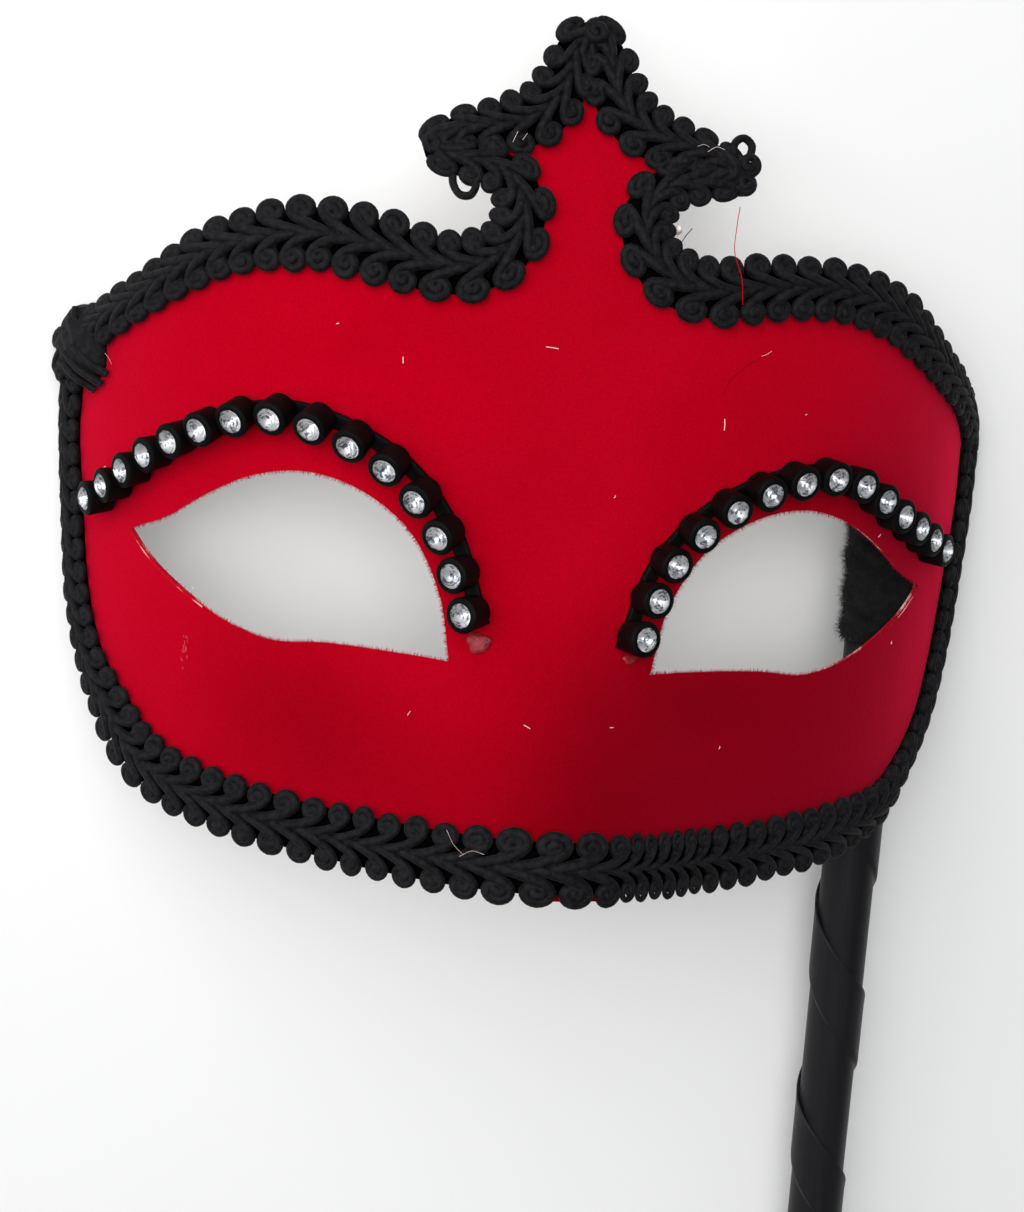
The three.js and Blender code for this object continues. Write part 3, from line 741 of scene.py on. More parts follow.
def braidRun(name, order, pitchTable, raiseEnd):
    outer, inner = braidOuter[order], braidInner[order]
    raised = np.zeros(len(order))
    if raiseEnd:  # the end runs on over the other braid
        onwards = np.arange(1, int(braid["cornerRun"] / edgeStep) + 1)[:, None] * edgeStep

        def runOn(line):
            way = line[-1] - line[-1 - int(braid["cornerFrom"] / edgeStep)]
            return np.concatenate([line, line[-1] + onwards * way / np.linalg.norm(way)])

        outer, inner = runOn(outer), runOn(inner)
        ramp = np.clip(np.arange(len(outer))[::-1] * edgeStep / braid["raiseRun"], 0, 1)
        raised = braid["cornerRaise"] * (1 - smoothStep(ramp))
    middle = (outer + inner) / 2
    along = lengthsAlong(middle)
    pitch = np.interp(along / along[-1], *np.array(pitchTable).T)
    phase = np.concatenate([[0], np.cumsum(np.diff(along) / pitch[1:])])
    loops = int(round(phase[-1]))
    phase *= loops / phase[-1]
    steps, perSpan = braid["steps"], braid["perSpan"]
    shape = np.concatenate([np.array(scrollLoop) + [turn, 0, 0] for turn in (-1, 0, 1, 2)])
    nominal = np.array([np.mean(pitch), braid["width"] / 2, 1])
    span = perSpan * len(scrollLoop)
    oneLoop = smoothLine(shape * nominal, perSpan=perSpan)[span:2 * span + 1]
    oneLoop = atLengths(oneLoop, np.linspace(0, lengthsAlong(oneLoop)[-1], steps + 1))[:-1] / nominal
    count = loops * steps + 1
    inLoop = np.arange(count) % steps
    seat = np.full(count, braid["seat"])
    points, edges, marks = [], [], []
    for row, line in enumerate((outer, inner)):
        shifted = np.clip(np.arange(count) / steps + row * braid["rowShift"], 0, loops)
        stations = np.interp(shifted, phase, along)
        flatMiddle = sampledAt(middle, along, stations)
        localPitch = np.interp(stations, along, pitch)
        points.append(toRow(wrap(flatMiddle, seat)))
        edges += [(row * count + i, row * count + i + 1) for i in range(count - 1)]
        marks.append({
            "rowEnd": toRow(wrap(sampledAt(line, along, stations), seat)),
            "standing": turnToRow(faceNormal(flatMiddle)),
            "ahead": (0.5 + oneLoop[inLoop, 0] - inLoop / steps) * localPitch * mm,
            "across": oneLoop[inLoop, 1],
            "lift": oneLoop[inLoop, 2],
            "loopNumber": np.arange(count) // steps * 2 + row,
            "raised": np.interp(stations, along, raised) * mm,
            "thickness": np.clip(localPitch / braid["fullPitch"], braid["thinnest"], braid["thickest"]),
        })
    guide = guideMesh(name, np.concatenate(points), edges, **{
        label: np.concatenate([mark[label] for mark in marks]) for label in marks[0]})
    grow(guide, scrollTree, {
        "Cord Radius": braid["cordRadius"] * mm, "Sides": braid["sides"], "Lift": braid["lift"] * mm,
        "Wander": braid["wander"], "Seed": braid["seed"], "Material": blackCord})
    joinInto(guide, braidCore(name + "Core", middle, outer, inner, raised), blackCord, braidGround)
    print(name, loops, "loops in each row over", round(along[-1]), "mm,", len(guide.data.polygons), "faces")
    return guide


scrollTree = scrollCordTree()
topOrder = np.arange(nearestStep("topFrom"), nearestStep("topTo") + 1)
lowerOrder = np.arange(nearestStep("lowerFrom") - edgeCount, nearestStep("lowerTo") + 1)
braidTop = braidRun("braidTop", topOrder, topPitch, True)
braidLower = braidRun("braidLower", lowerOrder, lowerPitch, False)
for piece, node in ((braidTop, "braid_top"), (braidLower, "braid_lower")):
    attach(piece, "root")
    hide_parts(node)


# rows of cupped stones over the eyes
rows = [
    {"side": "Left", "hand": -1, "cups": 15, "lean": 36, "fan": 14,
     "path": [(14.9, 9.4), (19.6, 21.4), (28.5, 31.2), (46, 36.8), (63, 31.4), (80, 20.3)]},
    {"side": "Right", "hand": 1, "cups": 14, "lean": 17, "fan": 0,
     "path": [(13.3, 7.6), (17.3, 19.2), (27, 29.3), (45, 34.8), (60.5, 28.6), (77, 21.4)]},
]
cup = {
    "pitchFirst": 6.7, "pitchLast": 5.1, "uprightFrom": 0.35, "uprightTo": 0.95, "fullFanAt": 0.5,
    "base": 2.6, "rim": 2.95, "mouth": 2.3, "mouthDrop": 0.45, "height": 4.6, "seat": 0.05, "foot": 0.35,
    "lip": 0.98, "floor": 2.2, "floorReach": 1.0, "sides": 28, "sharpAngle": 35, "seed": 1,
    "bandHalf": 1.2, "bandHeight": 0.1, "bandSteps": 6, "tail": 2.4,
}
footShape = [(-0.2, 0.0), (0.0, 0.5), (0.05, 1.0)]  # beyond the base, share of the foot's height
outerLip = [(-0.05, -0.7), (0.0, -0.45), (-0.08, -0.18), (-0.35, 0.02)]  # beyond the rim, above the height
innerLip = [(0.3, 0.1), (0.0, 0.06), (-0.02, -0.1)]  # beyond the lip's inside, above the height
bandSection = [  # across in half widths, share of the height, whether it leans with the cups
    (-1.1, 0.0, 0), (-1.0, 0.8, 1), (-0.7, 1.0, 1), (0.7, 1.0, 1), (1.0, 0.8, 1), (1.1, 0.0, 0),
]
stone = {
    "girdle": 2.25, "girdleHalf": 0.06, "table": 1.2, "bezel": 1.75, "bezelRise": 0.48, "crown": 0.8,
    "pavilion": 1.7, "facets": 8, "under": 0.25, "seed": 5,
}
pole = 0.001  # mm, radius of a lathed shape's closed ends


def seatedCopiesTree():
    tree, given = newTree("seatedCopies", [
        ("Pattern", "Object"), ("Seed", "Int"), ("Material", "Material"), ("Backing", "Material")])
    pattern = addNode(tree, "GeometryNodeObjectInfo", {"Object": given["Pattern"]}).outputs["Geometry"]
    upright = addNode(tree, "FunctionNodeAlignRotationToVector", {
        "Vector": named(tree, "standing", "FLOAT_VECTOR")}, axis="Z").outputs[0]
    spin = randomNumber(tree, given, 0.0, 2 * math.pi)
    spin = addNode(tree, "ShaderNodeCombineXYZ", {"Z": spin}).outputs[0]
    spin = addNode(tree, "FunctionNodeEulerToRotation", {0: spin}).outputs[0]
    turned = addNode(tree, "FunctionNodeRotateRotation", {0: upright, 1: spin}, rotation_space="LOCAL")
    copies = addNode(tree, "GeometryNodeInstanceOnPoints", {
        "Points": given["Geometry"], "Instance": pattern, "Rotation": turned.outputs[0]}).outputs[0]
    real = addNode(tree, "GeometryNodeRealizeInstances", {"Geometry": copies}).outputs[0]
    coated = addNode(tree, "GeometryNodeSetMaterial", {"Geometry": real, "Material": given["Material"]})
    backed = addNode(tree, "GeometryNodeSetMaterial", {
        "Geometry": coated.outputs[0], "Selection": named(tree, "backing", "BOOLEAN"),
        "Material": given["Backing"]}).outputs[0]
    addNode(tree, "NodeGroupOutput", {"Geometry": backed})
    return tree


def latheMesh(profile, sides):
    turn = np.arange(sides) / sides * 2 * math.pi
    points = [(r * math.cos(t), r * math.sin(t), h) for r, h in profile for t in turn]
    return points, ringFaces(len(profile), sides)


def cupPattern():
    top, inside = cup["height"], cup["rim"] - cup["lip"]
    profile = [(pole, 0)] + [(cup["base"] + out, share * cup["foot"]) for out, share in footShape]
    profile += [(cup["rim"] + out, top + above) for out, above in outerLip]
    profile += [(inside + out, top + above) for out, above in innerLip]
    profile.append((cup["mouth"], top - cup["mouthDrop"]))
    profile += [(cup["floorReach"], cup["floor"]), (pole, cup["floor"])]
    points, faces = latheMesh([(r * mm, h * mm) for r, h in profile], cup["sides"])
    made = meshObject("cupPattern", points, faces, [], sharpAngle=cup["sharpAngle"])
    faceOutwards(made)
    return made


def stonePattern():
    girdle = cup["height"] - stone["under"]
    count = stone["facets"]

    def ring(radius, height, phase, n):
        angles = [(j + phase) / n * 2 * math.pi for j in range(n)]
        return [(radius * math.cos(a) * mm, radius * math.sin(a) * mm, height * mm) for a in angles]

    points = ring(stone["table"], girdle + stone["crown"], 0, count)
    points += ring(stone["bezel"], girdle + stone["bezelRise"] * stone["crown"], 0.5, count)
    points += ring(stone["girdle"], girdle + stone["girdleHalf"], 0, 2 * count)
    points += ring(stone["girdle"], girdle - stone["girdleHalf"], 0, 2 * count)
    points.append((0, 0, (girdle - stone["pavilion"]) * mm))
    table, bezel, top, tip = 0, count, 2 * count, 6 * count
    faces = [tuple(range(count))]
    backing = [False]
    for j in range(count):
        n = (j + 1) % count
        last = (j - 1) % count
        a, b, c = (top + (2 * j + k) % (2 * count) for k in range(3))
        front = [(table + j, bezel + j, table + n), (table + j, bezel + last, a, bezel + j),
                 (bezel + j, a, b), (bezel + j, b, c)]
        lows = [i + 2 * count for i in (a, b, c)]
        girdleSides = [(a, lows[0], lows[1], b), (b, lows[1], lows[2], c)]
        back = [(lows[0], tip, lows[1]), (lows[1], tip, lows[2])]
        faces += front + girdleSides + back
        backing += [False] * len(front + girdleSides) + [True] * len(back)
    made = meshObject("stonePattern", points, faces, [], smooth=False)
    layer = made.data.attributes.new("backing", "BOOLEAN", "FACE")
    layer.data.foreach_set("value", backing)
    faceOutwards(made, merge=False)
    return made


def rowSeats(row):
    line = smoothLine(np.array(row["path"]) * [row["hand"], 1])
    pitches = np.linspace(cup["pitchFirst"], cup["pitchLast"], row["cups"])
    along = np.minimum(np.concatenate([[0], np.cumsum(pitches[:-1])]), lengthsAlong(line)[-1])
    share = np.linspace(0, 1, row["cups"])
    ease = np.clip((share - cup["uprightFrom"]) / (cup["uprightTo"] - cup["uprightFrom"]), 0, 1)
    lean = math.radians(row["lean"]) * (1 - smoothStep(ease))
    return line, along, lean


def seatFrames(row, line, stations, lean):
    lengths = lengthsAlong(line)
    step = faceForm["normalStep"]
    under = atLengths(line, stations)
    under += np.minimum(stations, 0)[:, None] * unit(line[1] - line[0])
    way = unit(sampledAt(np.gradient(line, axis=0), lengths, stations))
    toEye = row["hand"] * np.stack([way[:, 1], -way[:, 0]], 1)
    foot = under - toEye * (cup["height"] * np.sin(lean))[:, None]
    normal = faceNormal(foot)
    sideways = facePoint(foot + toEye * step) - facePoint(foot)
    sideways = unit(sideways - normal * (sideways * normal).sum(1, keepdims=True))
    outwards = unit(facePoint(foot + way * step) - facePoint(foot))
    share = np.clip((stations / lengths[-1] - cup["uprightFrom"]) / (1 - cup["uprightFrom"]), 0, 1)
    fan = np.tan(np.radians(row["fan"]) * np.clip(share / cup["fullFanAt"], 0, 1))
    axis = normal * np.cos(lean)[:, None] + sideways * np.sin(lean)[:, None] + outwards * fan[:, None]
    axis = unit(axis)
    raised = cup["base"] * np.sqrt(np.clip(1 - (axis * normal).sum(1) ** 2, 0, 1))
    return foot, toEye, axis, raised


def bandMesh(name, row, line, along, lean):
    stations = np.linspace(along[0] - cup["tail"], along[-1], len(along) * cup["bandSteps"])
    tilt = np.interp(stations, along, lean)
    foot, toEye, _, raised = seatFrames(row, line, stations, tilt)
    rings = []
    for halves, share, follows in bandSection:
        across = halves * cup["bandHalf"]
        height = share * (raised + cup["bandHeight"]) - follows * across * np.tan(tilt) + cup["seat"]
        rings.append(toRow(wrap(foot + toEye * across, np.maximum(height, cup["seat"]))))
    return stripMesh(name, np.stack(rings, 1), cupPlastic)


seatedCopies = seatedCopiesTree()
cupShape = cupPattern()
stoneShape = stonePattern()
for row in rows:
    line, along, lean = rowSeats(row)
    foot, _, axis, raised = seatFrames(row, line, along, lean)
    standing = turnToRow(axis)
    places = toRow(wrap(foot, cup["seat"] + raised))
    cups = grow(guideMesh("cups" + row["side"], places, [], standing=standing), seatedCopies, {
        "Pattern": cupShape, "Seed": cup["seed"], "Material": cupPlastic, "Backing": cupPlastic})
    joinInto(cups, bandMesh("band" + row["side"], row, line, along, lean), cupPlastic)
    stones = grow(guideMesh("stones" + row["side"], places, [], standing=standing), seatedCopies, {
        "Pattern": stoneShape, "Seed": stone["seed"], "Material": cutCrystal, "Backing": silverBack})
    side = row["side"].lower()
    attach(cups, "root")
    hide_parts("brow_chain_" + side)
    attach(stones, "root")
    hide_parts(*[f"stone_{side}_{i + 1:02d}" for i in range(row["cups"])])
bpy.data.objects.remove(cupShape)
bpy.data.objects.remove(stoneShape)
print("stone rows set")

# loose strands of the braid, lint and dried glue: around, up and lift of each strand's points
cordStrands = [
    [(-21.2, 78.0, 0.9), (-21.0, 75.8, 1.3), (-19.9, 74.2, 1.6), (-18.3, 74.2, 1.7), (-17.5, 75.8, 1.5),
     (-17.9, 78.0, 1.0)],
    [(23.9, 84.6, 1.6), (23.9, 86.4, 2.0), (25.4, 87.4, 2.0), (26.9, 86.4, 1.8), (26.7, 84.9, 1.5),
     (25.6, 84.2, 1.2)],
    [(-90.3, 47.2, 2.6), (-90.9, 48.8, 3.0), (-91.3, 50.0, 2.8)],
    [(-92.5, 41.0, 4.2), (-89.0, 38.9, 3.4), (-86.4, 37.0, 0.7)],
    [(-90.6, 42.4, 4.4), (-87.1, 40.1, 3.6), (-84.4, 38.2, 0.7)],
    [(-88.6, 43.8, 4.2), (-85.8, 41.8, 3.2), (-83.0, 40.0, 0.7)],
]
looseCurls = [  # around, up, lift, size, turn in degrees
    (0.4, 101.4, 3.0, 1.7, 90), (26.0, 80.2, 1.9, 1.55, 200), (26.5, 83.2, 2.1, 1.6, 240),
    (-24.4, 81.6, 2.0, 1.6, 340),
]
curl = {"points": 15, "turns": 1.5, "shrink": 0.7, "rise": 0.3}
for around, up, lift, size, turn in looseCurls:
    share = np.linspace(0, 1, curl["points"])
    bend = math.radians(turn) + 2 * math.pi * curl["turns"] * share
    radius = size * (1 - curl["shrink"] * share)
    cordStrands.append(np.stack([
        around + radius * np.cos(bend), up + radius * np.sin(bend), lift + curl["rise"] * share], 1))
hairStrands = [[(15.5, 69.8, 1.2), (16.3, 71.2, 1.8), (17.3, 72.4, 1.6)]]
redStrands = [
    [(25.1, 76.4, 2.0), (24.0, 72.7, 3.5), (23.5, 68.6, 4.2), (25.1, 64.8, 3.6), (25.6, 61.0, 3.2)],
    [(30.9, 53.8, 0.1), (28.0, 52.1, 0.1), (25.5, 49.7, 0.1), (24.1, 47.1, 0.05)],
]
lintStrands = [
    [(32.6, 54.7, 0.15), (31.6, 54.1, 0.3), (30.8, 53.8, 0.1)],
    [(-12.2, 82.5, 3.2), (-11.5, 84.1, 3.6)], [(-10.7, 83.0, 3.2), (-10.0, 84.0, 3.4)],
    [(-14.2, -23.4, 3.0), (-12.9, -25.4, 3.5), (-11.6, -26.6, 3.3)],
    [(-12.0, -27.0, 3.4), (-10.3, -25.9, 3.6), (-8.6, -26.2, 3.3)],
    [(-84.2, 43.4, 0.6), (-83.2, 42.8, 0.5), (-82.4, 41.8, 0.3)],
    [(17.3, 84.9, 2.9), (18.3, 85.2, 3.2), (19.2, 85.0, 3.0)],
    [(19.0, 84.2, 3.0), (20.4, 85.0, 3.3), (21.8, 84.8, 3.0)],
]
lintFlecks = [  # around, up, length, turn in degrees
    (-3.9, 52.4, 2.0, -4), (-27.2, 48.4, 1.0, 95), (-21.9, -6.8, 0.8, 60), (-3.6, -6.6, 1.1, -25),
    (25.2, 42.6, 1.8, 92), (-45.8, 36.5, 0.5, 0), (-82.8, 24.6, 0.7, 30), (59.3, 25.2, 0.7, 40),
    (67.1, 6.1, 0.5, 80), (10.2, -6.2, 0.6, 0), (-38.0, 53.0, 0.4, 10), (8.0, 30.0, 0.4, 60),
    (-60.0, 8.0, 0.4, 120), (40.0, 45.0, 0.4, 15), (30.0, -10.0, 0.4, 70),
]
gluePatches = [  # around, up, half length, half width, height
    (-11.9, 5.4, 2.0, 1.7, 0.4), (12.6, 4.4, 1.2, 0.8, 0.3),
]
paleGlue = (15.3, 72.3, 0.6, 0.7, 1.6)
prongEnd = (25.2, 82.0, 3.0, 3.2, 2.0)
wornRims = [
    [(-74.7, 15.2, 0.0), (-70.2, 11.6, 0.0), (-63.2, 7.6, 0.0), (-58.0, 5.2, 0.0)],
    [(74.7, 15.2, 0.0), (70.2, 11.6, 0.0), (65.0, 8.6, 0.0)],
]
strand = {
    "cord": 0.66, "hair": 0.07, "lint": 0.032, "fleck": 0.07, "worn": 0.1, "rub": 0.045,
    "sides": 8, "spacing": 0.25, "fleckEnd": 0.05, "fleckMiddle": 0.15,
}
rubbed = {
    "around": -60.6, "up": -2.4, "wide": 0.3, "long": 1.4, "count": 26, "fleck": 0.45, "turn": -75, "seed": 8,
}
lump = {"seat": 0.02, "clear": 0.3, "lobes": 0.12, "smallLobes": 0.08, "ridgeAcross": 2.2, "ridgeUp": 1.4}
braidEnd = {
    "around": -91.4, "up": 43.6, "long": 6.8, "wide": 6.2, "height": 4.4, "turn": 10.0, "rings": 12,
    "sides": 40, "ridges": 0.25,
}


def threadTree():
    tree, given = newTree("threads", [("Radius", "Float"), ("Sides", "Int"), ("Material", "Material")])
    line = addNode(tree, "GeometryNodeMeshToCurve", {"Mesh": given["Geometry"]}).outputs[0]
    return finishTree(tree, sweptAlong(tree, line, given, "Radius"), given["Material"])


def threads(name, strands, radius, material):
    points, edges = [], []
    for line in strands:
        dense = evenly(smoothLine(np.array(line)), strand["spacing"])
        edges += [(len(points) + i, len(points) + i + 1) for i in range(len(dense) - 1)]
        points += list(toRow(wrap(dense[:, :2], dense[:, 2])))
    return grow(guideMesh(name, points, edges), threadsOn, {
        "Radius": radius * mm, "Sides": strand["sides"], "Material": material})


def fleckAt(around, up, length, turn):
    ahead = length / 2 * math.cos(math.radians(turn))
    above = length / 2 * math.sin(math.radians(turn))
    end, middle = strand["fleckEnd"], strand["fleckMiddle"]
    return [(around - ahead, up - above, end), (around, up, middle), (around + ahead, up + above, end)]


def dome(name, around, up, long, wide, height, material, turn=0.0, rings=5, sides=16, ridges=0.0):
    spin = math.radians(turn)
    angle = np.arange(sides) / sides * 2 * math.pi
    uneven = 1 + lump["lobes"] * np.sin(3 * angle + around) + lump["smallLobes"] * np.sin(5 * angle + up)
    points = []
    for k in range(rings + 1):
        out = math.sin(k / rings * math.pi / 2)
        x, y = long * out * uneven * np.cos(angle), wide * out * uneven * np.sin(angle)
        flat = np.stack([around + x * math.cos(spin) - y * math.sin(spin),
                         up + x * math.sin(spin) + y * math.cos(spin)], 1)
        ripple = ridges * out * (1 - out) * np.sin(lump["ridgeAcross"] * x + lump["ridgeUp"] * y)
        lift = height * (math.sqrt(max(0, 1 - out ** 3)) + ripple)
        places = toRow(wrap(flat, lift + lump["seat"]))
        places[:, 2] = np.maximum(places[:, 2], lump["clear"] * mm)  # stays off the floor
        points.append(places)
    faces = ringFaces(rings + 1, sides)
    faces.append(tuple(rings * sides + j for j in range(sides))[::-1])
    made = meshObject(name, np.concatenate(points), faces, [material])
    faceOutwards(made)
    return made


threadsOn = threadTree()
looseCords = threads("looseCords", cordStrands, strand["cord"], blackCord)
looseHairs = threads("looseHairs", hairStrands, strand["hair"], blackCord)
lint = threads("lint", lintStrands, strand["lint"], paleLint)
flecks = threads("flecks", [fleckAt(*fleck) for fleck in lintFlecks], strand["fleck"], paleLint)
joinInto(lint, flecks, paleLint)
joinInto(looseCords, dome("braidEnd", material=blackCord, **braidEnd), blackCord)
joinInto(looseCords, dome("prongEnd", *prongEnd, blackCord), blackCord)
joinInto(looseCords, looseHairs, blackCord)
glue = dome("driedGlue", *gluePatches[0], driedGlue)
joinInto(glue, dome("glueTwo", *gluePatches[1], driedGlue), driedGlue)
redThreads = threads("redThreads", redStrands, strand["hair"], redFlock)
worn = threads("wornRims", wornRims, strand["worn"], cutEdge)
spots = np.random.default_rng(rubbed["seed"]).normal(
    [rubbed["around"], rubbed["up"]], [rubbed["wide"], rubbed["long"]], (rubbed["count"], 2))
specks = [fleckAt(*spot, rubbed["fleck"], rubbed["turn"]) for spot in spots]
joinInto(worn, threads("rubbed", specks, strand["rub"], rubbedFlock), cutEdge, rubbedFlock)
joinInto(lint, dome("gluePale", *paleGlue, paleLint), paleLint)
for piece, slot in ((looseCords, "black_braid"), (lint, "red_flock"), (worn, "red_flock"),
                    (redThreads, "red_flock"), (glue, "cup_black")):
    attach(piece, "root")
print("loose strands, lint and glue")

# the stick behind one eye: dowel, ribbon and felt, in the stick's own millimetres with y along it
stick = {
    "length": 300, "radius": 4.0, "sides": 40, "chamfer": 0.5, "bareEnd": 3, "rings": 12, "sharpAngle": 30,
}
stickLine = {"across": 64.5, "up": -26, "front": 42.3, "sideways": -0.0395, "backLean": 2.3, "topUp": 34}
felt = {
    "length": 29.5, "inner": 4.3, "outer": 5.8, "rings": 40, "sides": 48, "lumps": 0.35, "endRings": 3,
    "endRound": 0.5, "density": 9.0e6, "fibre": 1.5, "fibreRadius": 0.035, "lean": (1.1, 1.1, 3.0),
    "shortest": 0.4, "longest": 1.3, "seed": 7,
}
ribbon = {
    "inner": 4.3, "layer": 0.55, "wallShare": 0.8, "turn": 37, "overlap": 14, "start": 13, "perTurn": 60,
    "across": 34, "crowding": 1.3, "stepReach": 2.0, "stepPoints": 9, "stepRun": 1.4, "lipRun": 1.2,
    "edgeRise": 0.1, "ripple": 0.06, "wander": 0.5,
}

stickUp = Vector((stickLine["sideways"], 1, math.tan(math.radians(stickLine["backLean"]))))
stickTop = Vector((stickLine["across"], stickLine["up"], stickLine["front"]))
stickTop += stickUp * (stickLine["topUp"] - stickLine["up"])
stickUp.normalize()
stickTurn = np.array(Vector((0, 1, 0)).rotation_difference(stickUp).to_matrix())
stickFoot = np.array(stickTop - stickUp * stick["length"])


def stickToRow(points):
    return toRow(np.asarray(points, float) @ stickTurn.T + stickFoot)


def roundTheStick(radius, height, angle):
    return np.stack([radius * np.sin(angle), height, radius * np.cos(angle)], -1)


def dowel():
    r, cut, length = stick["radius"], stick["chamfer"], stick["length"]
    profile = [(pole, 0), (r - cut, 0)] + [(r, h) for h in np.linspace(cut, length - cut, stick["rings"])]
    profile += [(r - cut, length), (pole, length)]
    points, faces = latheMesh(profile, stick["sides"])
    points = np.array(points)[:, [0, 2, 1]]
    made = meshObject("dowel", stickToRow(points), faces, [dowelWood], sharpAngle=stick["sharpAngle"])
    faceOutwards(made)
    return made


def ribbonWinding():
    low = stick["bareEnd"]
    length = stick["length"] - low - felt["length"]
    width = ribbon["turn"] + ribbon["overlap"]
    turns = (length + width) / ribbon["turn"] + 1
    angle = np.linspace(0, 2 * math.pi * turns, int(turns * ribbon["perTurn"]))
    reach = ribbon["stepReach"]
    nearStep = ribbon["overlap"] + np.linspace(-reach, reach, ribbon["stepPoints"])
    down = np.linspace(0, 1, ribbon["across"]) ** ribbon["crowding"] * width
    down = np.unique(np.concatenate([down, nearStep]))
    turn, fall = np.meshgrid(angle, down, indexing="ij")
    past = np.clip((fall - ribbon["overlap"] + ribbon["stepRun"] / 2) / ribbon["stepRun"], 0, 1)
    over = 1 - smoothStep(past)
    ripple = ribbon["ripple"] * np.sin(3.1 * turn) * np.sin(0.7 * turn + 1)
    lip = np.exp(-(fall / ribbon["lipRun"]) ** 2) * (ribbon["edgeRise"] + ripple)
    radius = ribbon["inner"] + ribbon["layer"] * (0.5 + over) + lip
    height = length + ribbon["turn"] + ribbon["start"] - ribbon["turn"] * turn / (2 * math.pi) - fall
    height += ribbon["wander"] * np.sin(1.3 * turn) * np.sin(0.37 * turn)
    points = roundTheStick(radius, height + low, turn).reshape(-1, 3)
    count = len(down)
    faces = [(i * count + j, i * count + j + 1, (i + 1) * count + j + 1, (i + 1) * count + j)
             for i in range(len(angle) - 1) for j in range(count - 1)]
    made = meshObject("ribbonWinding", points, faces, [satinRibbon])
    layer = made.data.uv_layers.new(name="cloth")
    flat = np.stack([turn.ravel() * ribbon["inner"], fall.ravel()], 1)
    corner = np.zeros(len(made.data.loops), int)
    made.data.loops.foreach_get("vertex_index", corner)
    layer.data.foreach_set("uv", flat[corner].ravel())
    work = bmesh.new()
    work.from_mesh(made.data)
    for height, way in ((low, -1), (low + length, 1)):
        everything = work.verts[:] + work.edges[:] + work.faces[:]
        bmesh.ops.bisect_plane(
            work, geom=everything, plane_co=(0, height, 0), plane_no=(0, way, 0), clear_outer=True)
    bmesh.ops.recalc_face_normals(work, faces=work.faces)
    work.to_mesh(made.data)
    work.free()
    places = np.array([v.co for v in made.data.vertices])
    made.data.vertices.foreach_set("co", stickToRow(places).astype(np.float32).ravel())
    wall = made.modifiers.new("wall", "SOLIDIFY")
    wall.thickness = ribbon["wallShare"] * ribbon["layer"] * mm
    wall.offset = 0
    return bake(made)


def fuzzTree():
    tree, given = newTree("feltFuzz", [
        ("Density", "Float"), ("Length", "Float"), ("Radius", "Float"), ("Seed", "Int"),
        ("Material", "Material")])
    scatter = addNode(tree, "GeometryNodeDistributePointsOnFaces", {
        "Mesh": given["Geometry"], "Density": given["Density"], "Seed": given["Seed"]},
        distribute_method="RANDOM").outputs
    lean = randomVector(tree, given, felt["lean"])
    lean = addNode(tree, "FunctionNodeEulerToRotation", {0: lean}).outputs[0]
    turned = addNode(tree, "FunctionNodeRotateRotation", {
        0: scatter["Rotation"], 1: lean}, rotation_space="LOCAL").outputs[0]
    fibres = addNode(tree, "GeometryNodeInstanceOnPoints", {
        "Points": scatter["Points"], "Instance": fibreCone(tree, given, "NONE"), "Rotation": turned,
        "Scale": randomNumber(tree, given, felt["shortest"], felt["longest"])}).outputs[0]
    joined = addNode(tree, "GeometryNodeJoinGeometry", {"Geometry": given["Geometry"]})
    tree.links.new(fibres, joined.inputs["Geometry"])
    return finishTree(tree, joined.outputs[0], given["Material"])


def feltSleeve():
    low, high = stick["length"] - felt["length"], stick["length"]
    turn = np.arange(felt["sides"]) / felt["sides"] * 2 * math.pi
    rings = [(felt["inner"], low)]
    rings += [(felt["outer"], h) for h in np.linspace(low, high, felt["rings"])] + [(felt["inner"], high)]
    points = []
    for k, (radius, height) in enumerate(rings):
        waves = np.sin(2 * turn + 0.3 * k) * np.sin(0.45 * k + turn) + 0.5 * np.sin(5 * turn - 0.7 * k)
        isOuter = 0 < k < len(rings) - 1
        ease = min(1, min(k, len(rings) - 1 - k) / felt["endRings"])
        swell = felt["lumps"] * waves * ease - felt["endRound"] * (1 - ease)
        points.append(roundTheStick(radius + isOuter * swell, np.full(len(turn), height), turn))
    faces = ringFaces(len(rings), len(turn), closedUp=True)
    made = meshObject("feltSleeve", stickToRow(np.concatenate(points)), faces, [blackFelt])
    faceOutwards(made)
    return grow(made, fuzzTree(), {
        "Density": felt["density"], "Length": felt["fibre"] * mm, "Radius": felt["fibreRadius"] * mm,
        "Seed": felt["seed"], "Material": blackFelt})


for piece, node, slot in ((dowel(), "stick", "wood"), (ribbonWinding(), "stick_ribbon", "black_ribbon"),
                          (feltSleeve(), "felt_sleeve", "black_felt")):
    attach(piece, "root")
    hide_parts(node)
print("stick dressed")

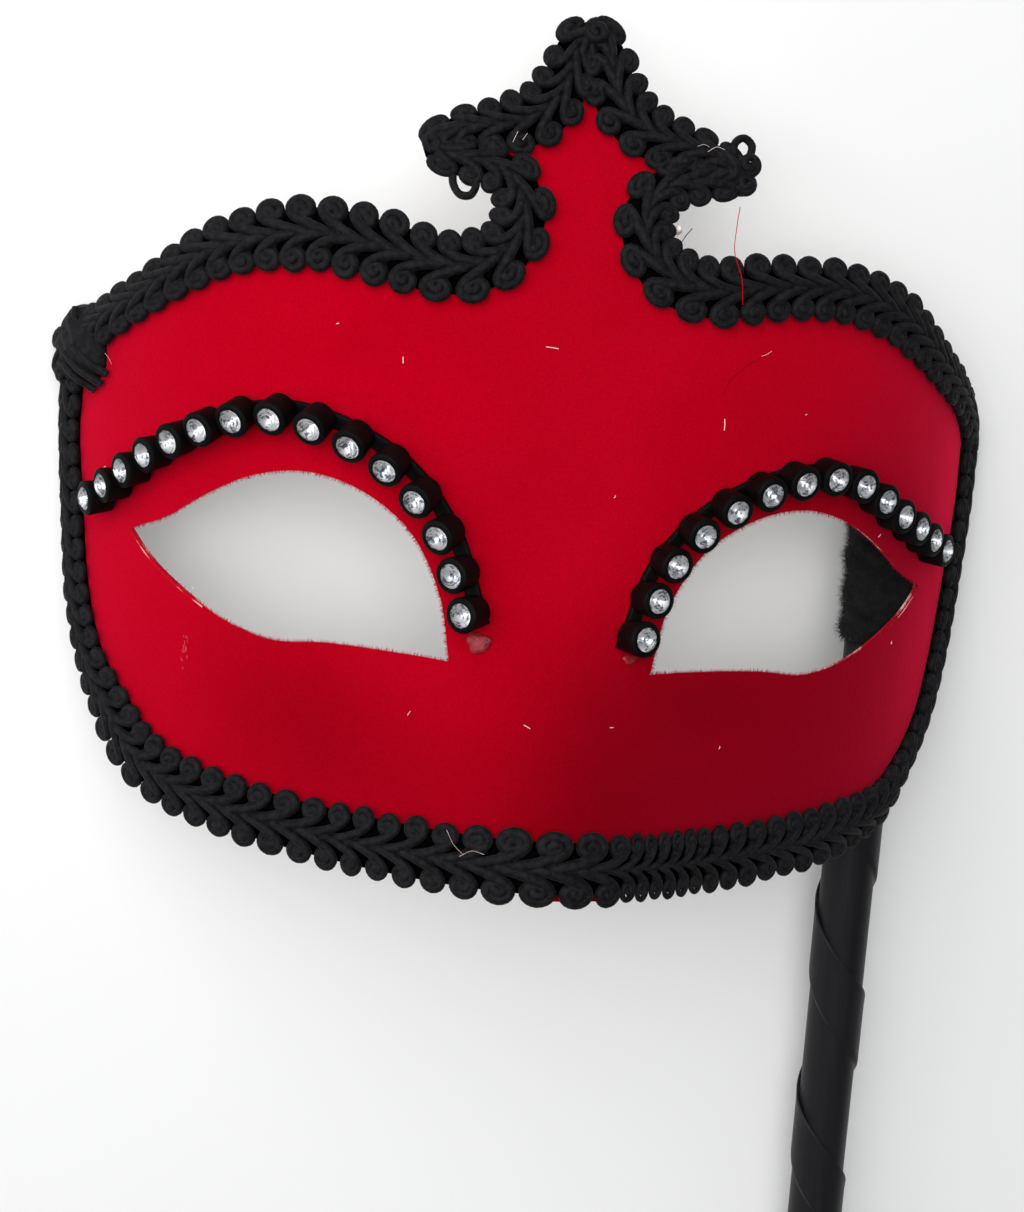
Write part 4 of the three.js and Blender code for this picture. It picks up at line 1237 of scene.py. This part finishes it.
# floor, light and camera
studio = {"floorHalf": 3.0, "world": 0.26, "worldTint": (0.95, 0.97, 1.0, 1)}
lights = {
    "keyLight": {"power": 7.8, "size": 0.95, "place": (-0.34, 0.44, 0.68), "target": (0, 0.08, 0.02)},
    "leftFill": {"power": 1.4, "size": 0.5, "place": (-0.75, 0.1, 0.3), "target": (-0.06, 0.1, 0.02)},
    "topLight": {"power": 2.6, "size": 0.5, "place": (-0.1, 0.2, 0.95), "target": (0.0, 0.09, 0.03)},
}
camera = {  # the eye in the mask's millimetres, the lens and its axis in the photo's pixels
    "eye": (-55.221, 69.384, 391.585), "right": (0.98803, 0.09338, 0.12279),
    "up": (-0.06985, 0.98052, -0.18359), "focal": 2050, "imageHeight": 1212, "imageWidth": 1024,
    "axisX": 490.493, "axisY": 593.319, "sensor": 36,
}


def addFloor():
    half = studio["floorHalf"]
    corners = [(-half, -half, 0), (half, -half, 0), (half, half, 0), (-half, half, 0)]
    floor = meshObject("floor", corners, [(0, 1, 2, 3)], [paleFloor])


def addLight(name, power, size, place, target):
    light = bpy.data.lights.new(name, "AREA")
    light.energy = power
    light.shape = "RECTANGLE"
    light.size = size
    light.size_y = size
    made = bpy.data.objects.new(name, light)
    made.location = place
    made.rotation_euler = (Vector(target) - Vector(place)).to_track_quat("-Z", "Y").to_euler()
    bpy.context.scene.collection.objects.link(made)


def addCamera():
    lens = bpy.data.cameras.new("photoView")
    lens.sensor_width = camera["sensor"]
    lens.lens = camera["focal"] / camera["imageHeight"] * camera["sensor"]
    lens.shift_x = (camera["imageWidth"] / 2 - camera["axisX"]) / camera["imageHeight"]
    lens.shift_y = (camera["axisY"] - camera["imageHeight"] / 2) / camera["imageHeight"]
    right, up = (Vector(turnToRow(camera[k])).normalized() for k in ("right", "up"))
    made = bpy.data.objects.new("photoView", lens)
    turn = Matrix((right, up, right.cross(up))).transposed()
    made.matrix_world = Matrix.Translation(Vector(toRow([camera["eye"]])[0])) @ turn.to_4x4()
    bpy.context.scene.collection.objects.link(made)
    bpy.context.scene.camera = made


addFloor()
for name, light in lights.items():
    addLight(name, **light)
world = bpy.data.worlds.new("studio")
world.use_nodes = True
background = world.node_tree.nodes["Background"].inputs
background["Color"].default_value = studio["worldTint"]
background["Strength"].default_value = studio["world"]
bpy.context.scene.world = world
bpy.context.scene.view_settings.view_transform = "Standard"
addCamera()
print("stage set")
